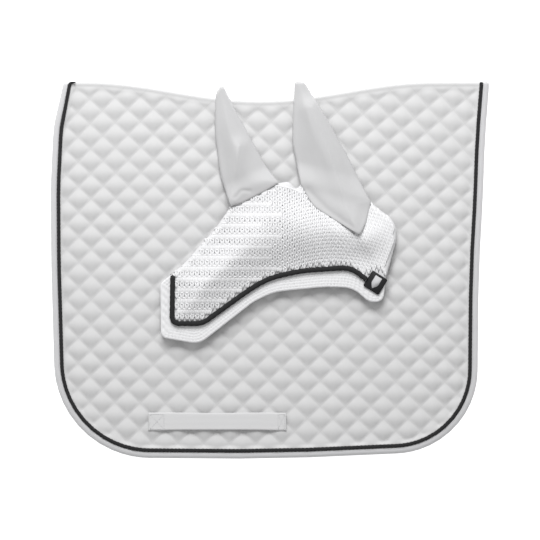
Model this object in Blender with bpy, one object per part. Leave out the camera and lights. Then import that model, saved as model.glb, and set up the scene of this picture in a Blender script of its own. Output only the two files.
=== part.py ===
"""Dressage saddle pad folded along its spine, with the matching crocheted ear bonnet laid on it.

Frame: +X runs along the horse's back towards the tail end, +Y towards the spine fold, +Z up.
The origin is under the middle of the folded pad, on the surface that it lies on.
The near flap is the upper one. The far flap lies under it, outer face down.
"""

import math

import bmesh
import bpy
from mathutils import Vector
from mathutils.geometry import delaunay_2d_cdt

# Clearances
GAP = 0.0003  # between pieces that touch
FOLD_GAP = 0.0006  # between the two folded flaps
HINGE_GAP = 0.0008  # between a moving piece and the line that it turns on

# Saddle pad, in plan
PAD_LENGTH = 0.659  # front to back, over the bindings
PAD_DROP = 0.567  # spine to lower edge
FRONT_CORNER_RADIUS = 0.145
REAR_CORNER_RADIUS = 0.127
SPINE_DIP = 0.0285  # how far the wither dip goes below the ends of the spine
DIP_HALF_LENGTH = 0.262
DIP_PLACE = -0.015  # the deepest point, along the back
RIM_END_DROP = 0.003  # the bindings end this far below the spine line

# Saddle pad, layers
COVER_THICKNESS = 0.0012
WADDING_THICKNESS = 0.0068
LINING_THICKNESS = 0.0012
BINDING_THICKNESS = 0.0013
BINDING_WIDTH = 0.0095
PIPING_WIDTH = 0.0055
PIPING_HEIGHT = 0.0034
FAR_PIPING_HEIGHT = 0.0013  # pressed flat under the pad
SPINE_TAPE_WIDTH = 0.026
SPINE_TAPE_THICKNESS = 0.0009
SPINE_TAPE_END = 0.030  # how far the tape stops short of each end of the pad

# Girth strap loops
STRAP_LENGTH = 0.207
STRAP_WIDTH = 0.027
STRAP_THICKNESS = 0.0013
STRAP_FRONT = 0.147  # from the pad's front end to the strap
STRAP_HEIGHT = 0.0425  # from the pad's lower edge to the strap
STRAP_FRONT_SEAM = 0.026
STRAP_REAR_SEAM = 0.015
STRAP_RAMP = 0.012
STRAP_BOW = 0.0056  # clear height inside the loop

# Ear bonnet
BONNET_X = 0.0  # the bonnet's place on the pad, from the pad's middle
BONNET_Y = 0.0
KNIT_THICKNESS = 0.0024
HOOD_MOUTH = 0.0056  # clear height between the two sides at the open edge
HOOD_CROWN = 0.024  # how far the near side domes above its open edge
HOOD_SHOULDER = 0.055  # the dome is full height this far in from the edge
TRIM_WIDTH = 0.0075
TRIM_BED = 0.0048  # the hood stays flat this far in from the join, under the trim
TRIM_HEIGHT = 0.0052
FAR_TRIM_HEIGHT = 0.0016
BADGE_SIZE = 0.027
BADGE_THICKNESS = 0.0016
BADGE_FLAT = BADGE_SIZE * 1.1  # the hood stays flat this far around the badge
BADGE_TURN = math.radians(-32)
BADGE_CENTRE = (0.1575, -0.0190)
EMBLEM_LENGTH = 0.020
EMBLEM_WIDTH = 0.011
EMBLEM_THICKNESS = 0.0008

# Ears
EAR_THICKNESS = 0.0012
EAR_CROWN = 0.0125
EAR_SHOULDER = 0.022
EAR_LIFT = 0.0010  # the ears lie this far above the pad
EAR_RIM_GAP = 0.0010  # between the two panels at their sewn edge

# Heights of the stack, worked up from the floor
COVER_BASE = max(STRAP_THICKNESS, BINDING_THICKNESS, FAR_PIPING_HEIGHT) + GAP
FLAP_THICKNESS = (
    COVER_THICKNESS + WADDING_THICKNESS + LINING_THICKNESS + 3 * GAP + BINDING_THICKNESS
)
FOLD_HEIGHT = COVER_BASE + FLAP_THICKNESS + FOLD_GAP / 2
PAD_TOP = 2 * FOLD_HEIGHT - COVER_BASE
FAR_TRIM_BASE = PAD_TOP + GAP
FAR_SIDE_BASE = FAR_TRIM_BASE + FAR_TRIM_HEIGHT + GAP
NEAR_SIDE_BASE = FAR_SIDE_BASE + KNIT_THICKNESS + HOOD_MOUTH
NEAR_SIDE_TOP = NEAR_SIDE_BASE + KNIT_THICKNESS
EAR_BASE = PAD_TOP + EAR_LIFT
EAR_TOP = EAR_BASE + 2 * EAR_THICKNESS + EAR_RIM_GAP + EAR_CROWN
SPINE_LINE = PAD_DROP / 2
FOLD_LINE = SPINE_LINE + FOLD_GAP

ARC_STEP = math.radians(9)  # the most that an outline turns between two points
GRID_STEP = 0.016  # between the points inside a domed sheet
GRID_MARGIN = 0.45  # share of the grid step that such points keep from the edge
SMOOTH_ANGLE = math.radians(35)

# Corners of a flap's rim, from the front's top round to the rear's top: the place as shares of
# half the length and half the drop, how far it is moved from there in x and y, and the radius
RIM_CORNERS = (
    (-1.00, 1.00, 0.0190, -RIM_END_DROP, 0.000),
    (-1.00, 0.76, 0.0040, 0.0000, 0.160),
    (-1.00, 0.44, -0.0002, 0.0000, 0.500),
    (-1.00, 0.04, 0.0006, 0.0000, 1.500),
    (-1.00, -1.00, 0.0090, 0.0020, FRONT_CORNER_RADIUS),
    (0.02, -1.00, 0.0000, -0.0004, 2.000),
    (1.00, -1.00, -0.0185, 0.0130, REAR_CORNER_RADIUS),
    (1.00, -0.02, -0.0160, 0.0000, 1.500),
    (1.00, 0.36, -0.0100, 0.0000, 1.500),
    (1.00, 0.70, -0.0065, 0.0000, 1.000),
    (1.00, 1.00, 0.0000, -RIM_END_DROP, 0.000),
)

# Corners of the bonnet's outlines, from the middle of the pad: x, y and the radius there
FOREHEAD = (
    (-0.1030, 0.0390, 0.300),
)
FAR_EAR_FRONT = (-0.0590, 0.0950)
FAR_EAR_BACK = (0.0130, 0.1300)
POLL = (
    (0.0300, 0.1240, 0.020),
)
NEAR_EAR_FRONT = (0.0460, 0.1280)
NEAR_EAR_BACK = (0.1505, 0.1010)
NAPE = (
    (0.1880, 0.0720, 0.030),
    (0.1890, 0.0450, 0.060),
)
NAPE_END = (0.1730, -0.0140, 0.000)
TRIM_LINE = (
    (0.1440, -0.0140, 0.010),
    (0.1200, 0.0040, 0.030),
    (0.0500, -0.0010, 0.120),
    (-0.0050, -0.0120, 0.200),
    (-0.0500, -0.0430, 0.200),
    (-0.1010, -0.0800, 0.030),
    (-0.1465, -0.0800, 0.010),
    (-0.1465, -0.0060, 0.000),
)
BAND_EDGE = (
    (-0.1640, -0.0200, 0.012),
    (-0.1630, -0.1010, 0.010),
    (-0.1060, -0.1110, 0.030),
    (-0.0250, -0.0480, 0.060),
    (0.0050, -0.0330, 0.080),
    (0.0850, -0.0250, 0.200),
    (0.1240, -0.0270, 0.040),
    (0.1480, -0.0480, 0.020),
    (0.1690, -0.0480, 0.012),
)
FAR_EAR_OUTLINE = (
    (-0.0745, 0.1400, 0.090),
    (-0.0830, 0.2100, 0.200),
    (-0.0810, 0.2640, 0.020),
    (-0.0710, 0.2740, 0.004),
    (-0.0480, 0.2320, 0.200),
    (-0.0060, 0.1560, 0.100),
)
NEAR_EAR_OUTLINE = (
    (0.0330, 0.1900, 0.100),
    (0.0365, 0.2825, 0.004),
    (0.0510, 0.2825, 0.006),
    (0.0820, 0.2330, 0.300),
    (0.1220, 0.1600, 0.200),
)


def material(name, colour, roughness, metallic=0.0):
    """A plain Principled material."""
    made = bpy.data.materials.new(name)
    made.use_nodes = True
    shader = made.node_tree.nodes["Principled BSDF"]
    shader.inputs["Base Color"].default_value = (*colour, 1.0)
    shader.inputs["Roughness"].default_value = roughness
    shader.inputs["Metallic"].default_value = metallic
    return made


def cotton_twill(name):
    return material(name, (0.86, 0.86, 0.87), 0.85)


def wadding_felt(name):
    return material(name, (0.90, 0.89, 0.86), 0.95)


def woven_tape(name):
    return material(name, (0.88, 0.88, 0.89), 0.75)


def black_cord(name):
    return material(name, (0.03, 0.03, 0.035), 0.60)


def crochet_cotton(name):
    return material(name, (0.90, 0.90, 0.90), 0.90)


def ear_lycra(name):
    return material(name, (0.82, 0.82, 0.84), 0.55)


def moulded_rubber(name):
    return material(name, (0.02, 0.02, 0.02), 0.45)


def new_object(name, mesh_builder, finish):
    """Makes an object of a bmesh as it is, with its faces smooth where they turn little."""
    mesh = bpy.data.meshes.new(name)
    mesh_builder.to_mesh(mesh)
    mesh_builder.free()
    mesh.materials.append(finish)
    mesh.shade_smooth()
    mesh.set_sharp_from_angle(angle=SMOOTH_ANGLE)
    made = bpy.data.objects.new(name, mesh)
    bpy.context.scene.collection.objects.link(made)
    return made


def add_object(name, mesh_builder, finish):
    """Makes an object of a finished bmesh, with its faces turned outwards."""
    bmesh.ops.recalc_face_normals(mesh_builder, faces=mesh_builder.faces)
    return new_object(name, mesh_builder, finish)


def add_pivot(name, place):
    """An empty on a joint's axis, which carries the pieces that move."""
    pivot = bpy.data.objects.new(name, None)
    pivot.location = place
    bpy.context.scene.collection.objects.link(pivot)
    return pivot


def carry(pivot, pieces):
    """Parents pieces to a pivot and keeps them where they are."""
    bpy.context.view_layer.update()
    for piece in pieces:
        piece.parent = pivot
        piece.matrix_parent_inverse = pivot.matrix_world.inverted()


def round_corner(before, corner, after, radius):
    """Points of the arc that rounds one corner; a radius that doesn't fit is cut to its sides."""
    one = before - corner
    two = after - corner
    turn = math.pi - one.angle(two)
    if radius <= 0 or turn < 1e-4:
        return [corner.copy()]
    reach = min(radius * math.tan(turn / 2), 0.49 * one.length, 0.49 * two.length)
    fitted = reach / math.tan(turn / 2)
    start = corner + one.normalized() * reach
    end = corner + two.normalized() * reach
    middle = corner + (one.normalized() + two.normalized()).normalized() * (
        fitted / math.cos(turn / 2)
    )
    count = max(1, math.ceil(turn / ARC_STEP))
    points = []
    for i in range(count + 1):
        across = start.lerp(end, i / count) - middle
        points.append(middle + across.normalized() * fitted)
    return points


def rounded_path(corners, closed=False):
    """Plan points of a path through rounded corners given as x, y and radius."""
    places = [Vector((x, y)) for x, y, _ in corners]
    last = len(corners) - 1
    points = []
    for i, (_, _, radius) in enumerate(corners):
        if not closed and i in (0, last):
            points.append(places[i].copy())
            continue
        points += round_corner(places[i - 1], places[i], places[(i + 1) % len(places)], radius)
    return points


def offset_path(points, distance):
    """An open path moved to its left by a distance, with mitred corners."""
    moved = []
    for i, point in enumerate(points):
        before = points[max(i - 1, 0)]
        after = points[min(i + 1, len(points) - 1)]
        into = (point - before).normalized() if i else (after - point).normalized()
        out = (after - point).normalized() if i < len(points) - 1 else into
        normal = Vector((-into.y - out.y, into.x + out.x)).normalized()
        mitre = max(normal.dot(Vector((-into.y, into.x))), 0.5)
        moved.append(point + normal * distance / mitre)
    return moved


def prism(outline, bottom, top):
    """A flat plate between two heights, as a bmesh."""
    built = bmesh.new()
    corners = [built.verts.new((p.x, p.y, bottom)) for p in outline]
    face = built.faces.new(corners)
    grown = bmesh.ops.extrude_face_region(built, geom=[face])["geom"]
    raised = [g for g in grown if isinstance(g, bmesh.types.BMVert)]
    bmesh.ops.translate(built, verts=raised, vec=(0, 0, top - bottom))
    return built


def swept(path, section):
    """A closed section of (distance left of the path, height) carried along an open path."""
    built = bmesh.new()
    sides = [offset_path(path, across) for across, _ in section]
    rings = []
    for i in range(len(path)):
        ring = []
        for side, (_, height) in zip(sides, section):
            ring.append(built.verts.new((side[i].x, side[i].y, height)))
        rings.append(ring)
    count = len(section)
    for ring, following in zip(rings, rings[1:]):
        for j in range(count):
            k = (j + 1) % count
            built.faces.new((ring[j], ring[k], following[k], following[j]))
    built.faces.new(rings[0])
    built.faces.new(rings[-1])
    return built


def oval_section(centre, height_centre, width, height, sides=10):
    """Section of a cord: an oval about a distance from the path and a height."""
    section = []
    for i in range(sides):
        angle = math.tau * i / sides
        section.append(
            (centre + width / 2 * math.cos(angle), height_centre + height / 2 * math.sin(angle))
        )
    return section


def spine_height(x):
    """Plan height of the spine edge, which dips behind the withers."""
    along = (x - DIP_PLACE) / DIP_HALF_LENGTH
    if abs(along) >= 1:
        return SPINE_LINE
    return SPINE_LINE - SPINE_DIP * math.cos(along * math.pi / 2) ** 2


def rim_path():
    """Outer edge of a flap down the front, along the bottom and up the rear."""
    half = PAD_LENGTH / 2
    low = PAD_DROP / 2
    corners = []
    for along, down, move_x, move_y, radius in RIM_CORNERS:
        corners.append((half * along + move_x, low * down + move_y, radius))
    return rounded_path(corners)


def flap_outline(inset):
    """Closed outline of a flap layer: its rim, set in, and the spine edge."""
    rim = offset_path(rim_path(), inset)
    rim = [p for p in rim if p.y <= spine_height(p.x) - RIM_END_DROP / 2]
    start = rim[0].x
    end = rim[-1].x
    steps = 28
    spine = []
    for i in range(steps + 1):
        x = end + (start - end) * i / steps
        spine.append(Vector((x, spine_height(x))))
    return rim + spine


def flap_heights(near):
    """Heights of a flap's layers from the floor, for the upper or the lower flap."""

    def band(low, high):
        if near:
            return 2 * FOLD_HEIGHT - high, 2 * FOLD_HEIGHT - low
        return low, high

    base = COVER_BASE
    piping = PIPING_HEIGHT if near else FAR_PIPING_HEIGHT
    wadding = base + COVER_THICKNESS + GAP
    lining = wadding + WADDING_THICKNESS + GAP
    inner = lining + LINING_THICKNESS + GAP
    return {
        "cover": band(base, base + COVER_THICKNESS),
        "wadding": band(wadding, wadding + WADDING_THICKNESS),
        "lining": band(lining, lining + LINING_THICKNESS),
        "flange_out": band(base - GAP - BINDING_THICKNESS, base - GAP),
        "flange_in": band(inner, inner + BINDING_THICKNESS),
        "piping": band(base - GAP - piping, base - GAP),
    }


def flap_layers(side, near):
    """Outer cover, wadding and lining of one flap."""
    heights = flap_heights(near)
    beside_binding = BINDING_THICKNESS + GAP
    cover = add_object(
        f"{side}_outer_cover",
        prism(flap_outline(beside_binding), *heights["cover"]),
        cotton_twill(f"{side}_cover_twill"),
    )
    wadding = add_object(
        f"{side}_wadding",
        prism(flap_outline(beside_binding), *heights["wadding"]),
        wadding_felt(f"{side}_wadding_felt"),
    )
    lining = add_object(
        f"{side}_lining",
        prism(flap_outline(beside_binding), *heights["lining"]),
        cotton_twill(f"{side}_lining_twill"),
    )
    return [cover, wadding, lining]


def edge_binding(side, near):
    """Folded tape around the rim of a flap: two flanges and the web between them."""
    heights = flap_heights(near)
    out_low, out_high = heights["flange_out"]
    in_low, in_high = heights["flange_in"]
    if near:
        outer, shoulder, inner, ledge = out_high, out_low, in_low, in_high
    else:
        outer, shoulder, inner, ledge = out_low, out_high, in_high, in_low
    section = (
        (0.0, outer),
        (BINDING_WIDTH, outer),
        (BINDING_WIDTH, shoulder),
        (BINDING_THICKNESS, shoulder),
        (BINDING_THICKNESS, ledge),
        (BINDING_WIDTH, ledge),
        (BINDING_WIDTH, inner),
        (0.0, inner),
    )
    return add_object(
        f"{side}_edge_binding", swept(rim_path(), section), woven_tape(f"{side}_binding_tape")
    )


def piping_cord(side, near):
    """Cord sewn in between the binding and the outer cover."""
    low, high = flap_heights(near)["piping"]
    centre = BINDING_WIDTH + GAP + PIPING_WIDTH / 2
    section = oval_section(centre, (low + high) / 2, PIPING_WIDTH, high - low)
    return add_object(
        f"{side}_piping_cord", swept(rim_path(), section), black_cord(f"{side}_piping_cotton")
    )


def strap_place():
    """Front end and lower edge of a girth strap."""
    return -PAD_LENGTH / 2 + STRAP_FRONT, -PAD_DROP / 2 + STRAP_HEIGHT


def near_strap():
    """Webbing loop sewn at both ends and bowed between them, which the girth passes through."""
    front, low = strap_place()
    base = PAD_TOP + GAP
    rear = front + STRAP_LENGTH
    path = (
        (front, base),
        (front + STRAP_FRONT_SEAM, base),
        (front + STRAP_FRONT_SEAM + STRAP_RAMP, base + STRAP_BOW),
        (rear - STRAP_REAR_SEAM - STRAP_RAMP, base + STRAP_BOW),
        (rear - STRAP_REAR_SEAM, base),
        (rear, base),
    )
    built = bmesh.new()
    under = [built.verts.new((x, low, z)) for x, z in path]
    over = [built.verts.new((x, low, z + STRAP_THICKNESS)) for x, z in path]
    for i in range(len(path) - 1):
        built.faces.new((under[i], under[i + 1], over[i + 1], over[i]))
    grown = bmesh.ops.extrude_face_region(built, geom=list(built.faces))["geom"]
    moved = [g for g in grown if isinstance(g, bmesh.types.BMVert)]
    bmesh.ops.translate(built, verts=moved, vec=(0, STRAP_WIDTH, 0))
    return add_object("near_girth_strap", built, woven_tape("near_strap_webbing"))


def far_strap():
    """The far flap's loop, pressed flat under the pad."""
    front, low = strap_place()
    outline = [
        Vector((front, low)),
        Vector((front + STRAP_LENGTH, low)),
        Vector((front + STRAP_LENGTH, low + STRAP_WIDTH)),
        Vector((front, low + STRAP_WIDTH)),
    ]
    top = COVER_BASE - GAP
    return add_object(
        "far_girth_strap",
        prism(outline, top - STRAP_THICKNESS, top),
        woven_tape("far_strap_webbing"),
    )


def spine_tape():
    """Tape inside the fold that covers the seam between the two flaps."""
    reach = PAD_LENGTH / 2 - SPINE_TAPE_END
    steps = 24
    upper = []
    for i in range(steps + 1):
        x = reach - 2 * reach * i / steps
        upper.append(Vector((x, spine_height(x) - GAP)))
    lower = [Vector((p.x, p.y - SPINE_TAPE_WIDTH)) for p in reversed(upper)]
    top = flap_heights(True)["lining"][0] - GAP
    return add_object(
        "spine_tape",
        prism(lower + upper, top - SPINE_TAPE_THICKNESS, top),
        woven_tape("spine_tape_cotton"),
    )


def placed(corners):
    """Bonnet corners moved to where the bonnet lies on the pad."""
    return tuple((x + BONNET_X, y + BONNET_Y, radius) for x, y, radius in corners)


def hinge_line(front, back):
    """Two ends of an ear's hinge line and the plan direction that points into the ear."""
    start = Vector((front[0] + BONNET_X, front[1] + BONNET_Y))
    end = Vector((back[0] + BONNET_X, back[1] + BONNET_Y))
    along = (end - start).normalized()
    return start, end, Vector((-along.y, along.x))


def distance_to(point, lines):
    """Least plan distance from a point to a set of segments."""
    least = math.inf
    for start, end in lines:
        run = end - start
        share = max(0.0, min(1.0, (point - start).dot(run) / max(run.length_squared, 1e-12)))
        least = min(least, (point - start - run * share).length)
    return least


def filled_outline(outline, ring=()):
    """Triangles inside an outline, through a ring of given points and those of an even grid."""
    edge = list(zip(outline, outline[1:] + outline[:1]))
    low_x = min(p.x for p in outline)
    high_x = max(p.x for p in outline)
    low_y = min(p.y for p in outline)
    high_y = max(p.y for p in outline)
    inner = []
    rows = int((high_y - low_y) / GRID_STEP) + 1
    columns = int((high_x - low_x) / GRID_STEP) + 1
    for row in range(rows):
        for column in range(columns):
            shift = 0.5 * (row % 2)
            point = Vector((low_x + (column + shift) * GRID_STEP, low_y + row * GRID_STEP))
            if is_inside(point, edge) and distance_to(point, edge) > GRID_MARGIN * GRID_STEP:
                inner.append(point)
    faces = [list(range(len(outline)))]
    first = len(outline)
    creases = [(first + i, first + i + 1) for i in range(len(ring) - 1)]
    given = outline + list(ring) + inner
    points, _, triangles, *_ = delaunay_2d_cdt(given, creases, faces, 1, 1e-7)
    return points, triangles


def is_inside(point, edge):
    """Whether a plan point lies inside a closed outline."""
    crossings = 0
    for start, end in edge:
        if (start.y > point.y) != (end.y > point.y):
            x = start.x + (end.x - start.x) * (point.y - start.y) / (end.y - start.y)
            crossings += x > point.x
    return crossings % 2 == 1


def domed(distance, shoulder, crown):
    """Height of a dome at a distance in from its edge."""
    share = min(distance / shoulder, 1.0)
    return crown * (1 - (1 - share) ** 2)


def solid_of_sheet(name, built, thickness, finish):
    """An object of a sheet's bmesh, with a live Solidify that gives it its thickness downwards."""
    bmesh.ops.recalc_face_normals(built, faces=built.faces)
    upward = sum(f.normal.z * f.calc_area() for f in built.faces if f.material_index == 0)
    if upward < 0:
        bmesh.ops.reverse_faces(built, faces=built.faces)
    for face in built.faces:
        face.material_index = 0
    made = new_object(name, built, finish)
    wall = made.modifiers.new("wall", "SOLIDIFY")
    wall.thickness = thickness
    wall.offset = -1.0
    wall.use_even_offset = True
    wall.use_rim = True
    return made


def hood_parts():
    """Corners of the hood's outline and which of its stretches are folds."""
    _, _, into_far = hinge_line(FAR_EAR_FRONT, FAR_EAR_BACK)
    _, _, into_near = hinge_line(NEAR_EAR_FRONT, NEAR_EAR_BACK)

    def back_off(point, into):
        return (point[0] - into.x * HINGE_GAP, point[1] - into.y * HINGE_GAP, 0.0)

    far_front = (back_off(FAR_EAR_FRONT, into_far),)
    far_back = (back_off(FAR_EAR_BACK, into_far),)
    near_front = (back_off(NEAR_EAR_FRONT, into_near),)
    near_back = (back_off(NEAR_EAR_BACK, into_near),)
    fold_one = rounded_path(placed(TRIM_LINE[-1:] + FOREHEAD + far_front))
    fold_two = rounded_path(placed(far_back + POLL + near_front))
    fold_three = rounded_path(placed(near_back + NAPE + (NAPE_END,)))
    open_edge = rounded_path(placed((NAPE_END,) + TRIM_LINE))
    return fold_one, fold_two, fold_three, open_edge[1:-1]


def crochet_hood():
    """Crocheted hood, one sheet folded at the forehead, poll and nape, open below and at the ears."""
    fold_one, fold_two, fold_three, open_edge = hood_parts()
    outline = fold_one + fold_two + fold_three + open_edge
    folds = []
    first = 0
    for fold in (fold_one, fold_two, fold_three):
        folds += range(first, first + len(fold) - 1)
        first += len(fold)
    edge = list(zip(outline, outline[1:] + outline[:1]))
    under_trim = TRIM_WIDTH / 2 + GAP
    ring = [
        p
        for p in offset_path(rounded_path(placed((NAPE_END,) + TRIM_LINE)), -under_trim)
        if is_inside(p, edge) and distance_to(p, edge) > under_trim / 2
    ]
    points, triangles = filled_outline(outline, ring)
    built = bmesh.new()
    near = []
    far = []
    badge_spot = Vector((BADGE_CENTRE[0] + BONNET_X, BADGE_CENTRE[1] + BONNET_Y))
    for point in points:
        inward = max(distance_to(point, edge) - TRIM_BED, 0.0)
        rise = domed(inward, HOOD_SHOULDER, HOOD_CROWN)
        beyond_badge = (point - badge_spot).length - BADGE_FLAT
        rise *= max(0.0, min(beyond_badge / BADGE_FLAT, 1.0))
        near.append(built.verts.new((point.x, point.y, NEAR_SIDE_TOP + rise)))
        far.append(built.verts.new((point.x, point.y, FAR_SIDE_BASE)))
    for a, b, c in triangles:
        built.faces.new((near[a], near[b], near[c]))
        built.faces.new((far[c], far[b], far[a])).material_index = 1
    for i in folds:
        built.faces.new((near[i], near[i + 1], far[i + 1], far[i])).material_index = 1
    return solid_of_sheet("crochet_hood", built, KNIT_THICKNESS, crochet_cotton("hood_cotton"))


def band_outline():
    """Closed outline of the dense border between the trim cord and the open edge."""
    inner = offset_path(rounded_path(placed((NAPE_END,) + TRIM_LINE)), GAP)
    outer = rounded_path(placed(TRIM_LINE[-1:] + BAND_EDGE + (NAPE_END,)))
    return inner + outer[1:-1]


def edge_bands():
    """Dense crocheted border on each side of the hood's open edge."""
    outline = band_outline()
    near = add_object(
        "near_edge_band",
        prism(outline, NEAR_SIDE_BASE, NEAR_SIDE_TOP),
        crochet_cotton("near_band_cotton"),
    )
    far = add_object(
        "far_edge_band",
        prism(outline, FAR_SIDE_BASE, FAR_SIDE_BASE + KNIT_THICKNESS),
        crochet_cotton("far_band_cotton"),
    )
    return [near, far]


def trim_cords():
    """Black cord on the join of hood and border, round on the near side and pressed flat below."""
    path = rounded_path(placed(TRIM_LINE))
    near_centre = NEAR_SIDE_TOP + GAP + TRIM_HEIGHT / 2
    far_centre = FAR_TRIM_BASE + FAR_TRIM_HEIGHT / 2
    near = add_object(
        "near_trim_cord",
        swept(path, oval_section(0.0, near_centre, TRIM_WIDTH, TRIM_HEIGHT)),
        black_cord("near_trim_cotton"),
    )
    far = add_object(
        "far_trim_cord",
        swept(path, oval_section(0.0, far_centre, TRIM_WIDTH, FAR_TRIM_HEIGHT, 8)),
        black_cord("far_trim_cotton"),
    )
    return [near, far]


def ear_outline(front, back, corners):
    """Closed outline of an ear panel and the segments of its sewn sides."""
    _, _, into = hinge_line(front, back)
    start = (front[0] + into.x * HINGE_GAP, front[1] + into.y * HINGE_GAP, 0.0)
    end = (back[0] + into.x * HINGE_GAP, back[1] + into.y * HINGE_GAP, 0.0)
    outline = rounded_path(placed((start,) + corners + (end,)))
    return outline, list(zip(outline, outline[1:]))


def ear_panels(side, front, back, corners):
    """An ear: a flat inner panel under a domed outer one, open where it meets the hood."""
    outline, seam = ear_outline(front, back, corners)
    inner = add_object(
        f"{side}_ear_inner",
        prism(outline, EAR_BASE, EAR_BASE + EAR_THICKNESS),
        ear_lycra(f"{side}_ear_inner_lycra"),
    )
    points, triangles = filled_outline(outline)
    low = EAR_BASE + 2 * EAR_THICKNESS + EAR_RIM_GAP
    built = bmesh.new()
    above = []
    for point in points:
        rise = domed(distance_to(point, seam), EAR_SHOULDER, EAR_CROWN)
        above.append(built.verts.new((point.x, point.y, low + rise)))
    for a, b, c in triangles:
        built.faces.new((above[a], above[b], above[c]))
    outer = solid_of_sheet(
        f"{side}_ear_outer", built, EAR_THICKNESS, ear_lycra(f"{side}_ear_outer_lycra")
    )
    return [inner, outer]


def turned(point, centre):
    """A badge point turned to the badge's slant and moved to its place."""
    x, y = point
    cos = math.cos(BADGE_TURN)
    sin = math.sin(BADGE_TURN)
    return Vector((centre.x + x * cos - y * sin, centre.y + x * sin + y * cos))


def badge():
    """Moulded badge at the end of the trim cord, with a plain raised shield on it."""
    centre = Vector((BADGE_CENTRE[0] + BONNET_X, BADGE_CENTRE[1] + BONNET_Y))
    half = BADGE_SIZE / 2
    low = NEAR_SIDE_TOP + GAP
    top = low + BADGE_THICKNESS
    square = [turned(p, centre) for p in ((-half, -half), (half, -half), (half, half), (-half, half))]
    patch = add_object("badge_patch", prism(square, low, top), moulded_rubber("badge_rubber"))
    wide = EMBLEM_WIDTH / 2
    tall = EMBLEM_LENGTH / 2
    shield = (
        (0.0, -tall),
        (wide, -tall * 0.25),
        (wide, tall),
        (-wide, tall),
        (-wide, -tall * 0.25),
    )
    emblem = add_object(
        "badge_emblem",
        prism([turned(p, centre) for p in shield], top + GAP, top + GAP + EMBLEM_THICKNESS),
        woven_tape("badge_emblem_enamel"),
    )
    return [patch, emblem]


def ear_pivot(side, front, back):
    """An empty on an ear's hinge line, at the height of the ear's crown."""
    start, end, _ = hinge_line(front, back)
    middle = (start + end) / 2
    return add_pivot(f"{side}_ear_pivot", (middle.x, middle.y, EAR_TOP))


def saddle_pad():
    """Both flaps and the tape between them; the far flap hangs on a pivot at the fold."""
    near = flap_layers("near", True)
    near += [edge_binding("near", True), piping_cord("near", True), near_strap(), spine_tape()]
    far = flap_layers("far", False)
    far += [edge_binding("far", False), piping_cord("far", False), far_strap()]
    carry(add_pivot("spine_pivot", (0.0, FOLD_LINE, FOLD_HEIGHT)), far)
    return near + far


def ear_bonnet():
    """The bonnet: hood, border, trim and badge, with an ear on each hinge line."""
    pieces = [crochet_hood()]
    pieces += edge_bands()
    pieces += trim_cords()
    pieces += badge()
    lift = add_pivot("bonnet_pivot", (BONNET_X, BONNET_Y, PAD_TOP))
    for side, front, back, corners in (
        ("far", FAR_EAR_FRONT, FAR_EAR_BACK, FAR_EAR_OUTLINE),
        ("near", NEAR_EAR_FRONT, NEAR_EAR_BACK, NEAR_EAR_OUTLINE),
    ):
        pivot = ear_pivot(side, front, back)
        carry(pivot, ear_panels(side, front, back, corners))
        carry(lift, [pivot])
    carry(lift, pieces)
    return pieces


def main():
    """Clears the scene and builds the pad and the bonnet."""
    for old in list(bpy.data.objects):
        bpy.data.objects.remove(old, do_unlink=True)
    saddle_pad()
    ear_bonnet()


main()
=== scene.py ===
"""A folded dressage saddle pad with its crocheted ear bonnet laid on it, dressed for display."""

import logging
import math
from dataclasses import dataclass
from enum import Enum
from typing import Callable, Optional, Sequence, Union

import bmesh
import bpy
import numpy as np
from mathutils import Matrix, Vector
from mathutils.bvhtree import BVHTree


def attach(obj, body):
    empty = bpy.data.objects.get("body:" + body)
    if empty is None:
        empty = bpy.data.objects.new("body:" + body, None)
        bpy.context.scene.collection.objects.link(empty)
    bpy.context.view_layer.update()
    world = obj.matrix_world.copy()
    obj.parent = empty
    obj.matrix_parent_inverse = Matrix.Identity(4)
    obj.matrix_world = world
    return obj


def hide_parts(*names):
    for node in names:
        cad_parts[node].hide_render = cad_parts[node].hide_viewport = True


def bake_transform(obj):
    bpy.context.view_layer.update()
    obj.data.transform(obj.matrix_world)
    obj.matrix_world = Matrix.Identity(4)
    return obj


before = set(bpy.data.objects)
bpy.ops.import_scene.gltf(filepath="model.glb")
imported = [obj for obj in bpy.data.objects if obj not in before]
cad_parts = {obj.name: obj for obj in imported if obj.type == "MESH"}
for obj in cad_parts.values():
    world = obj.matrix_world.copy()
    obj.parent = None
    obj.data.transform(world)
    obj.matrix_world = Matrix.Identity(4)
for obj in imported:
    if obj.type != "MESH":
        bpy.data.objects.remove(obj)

LOG = logging.getLogger("tack")
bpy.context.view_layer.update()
MM = 0.001
STITCH_SHARE = 0.72
STITCH_RISE = 0.45
STRAND_END = 0.62
STRAND_EASE = 0.35
TONE_DETAIL = 4.0
SECOND_BASE = 0.6
BRAID_TWIST = 0.0021
ARC_STEP = math.radians(7)
QUILT_MAP = "Lattice"
RUN_MAP = "Run"
WHITE = (1.0, 1.0, 1.0, 1.0)

Corner = tuple[float, float, float]
Plan = list[Vector]
Mesh = bmesh.types.BMesh
Piece = bpy.types.Object
Tree = bpy.types.NodeTree
Socket = bpy.types.NodeSocket
Feed = Union[Socket, float, tuple]
Values = np.ndarray
Section = list[tuple[float, float]]
Lattice = Callable[[Values, Values], tuple[Values, Values]]


class Side(Enum):
    """The two sides of the horse."""

    NEAR = "near"
    FAR = "far"


class Weave(Enum):
    """How a fabric's surface is made up."""

    TWILL = "twill"
    PLAIN = "plain"
    RIB = "rib"
    YARN = "yarn"
    BRAID = "braid"
    MOULDED = "moulded"


CROSSED = {
    Weave.TWILL: (("DIAGONAL", 0.0011), ("X", 0.0006)),
    Weave.PLAIN: (("X", 0.0008), ("Y", 0.0008)),
    Weave.RIB: (("Y", 0.0018), ("X", 0.0011)),
}
FUZZY = {Weave.YARN: (900.0, 6.0), Weave.BRAID: (700.0, 3.0), Weave.MOULDED: (500.0, 2.0)}


# ---------------------------------------------------------------- node groups and finishes


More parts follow.
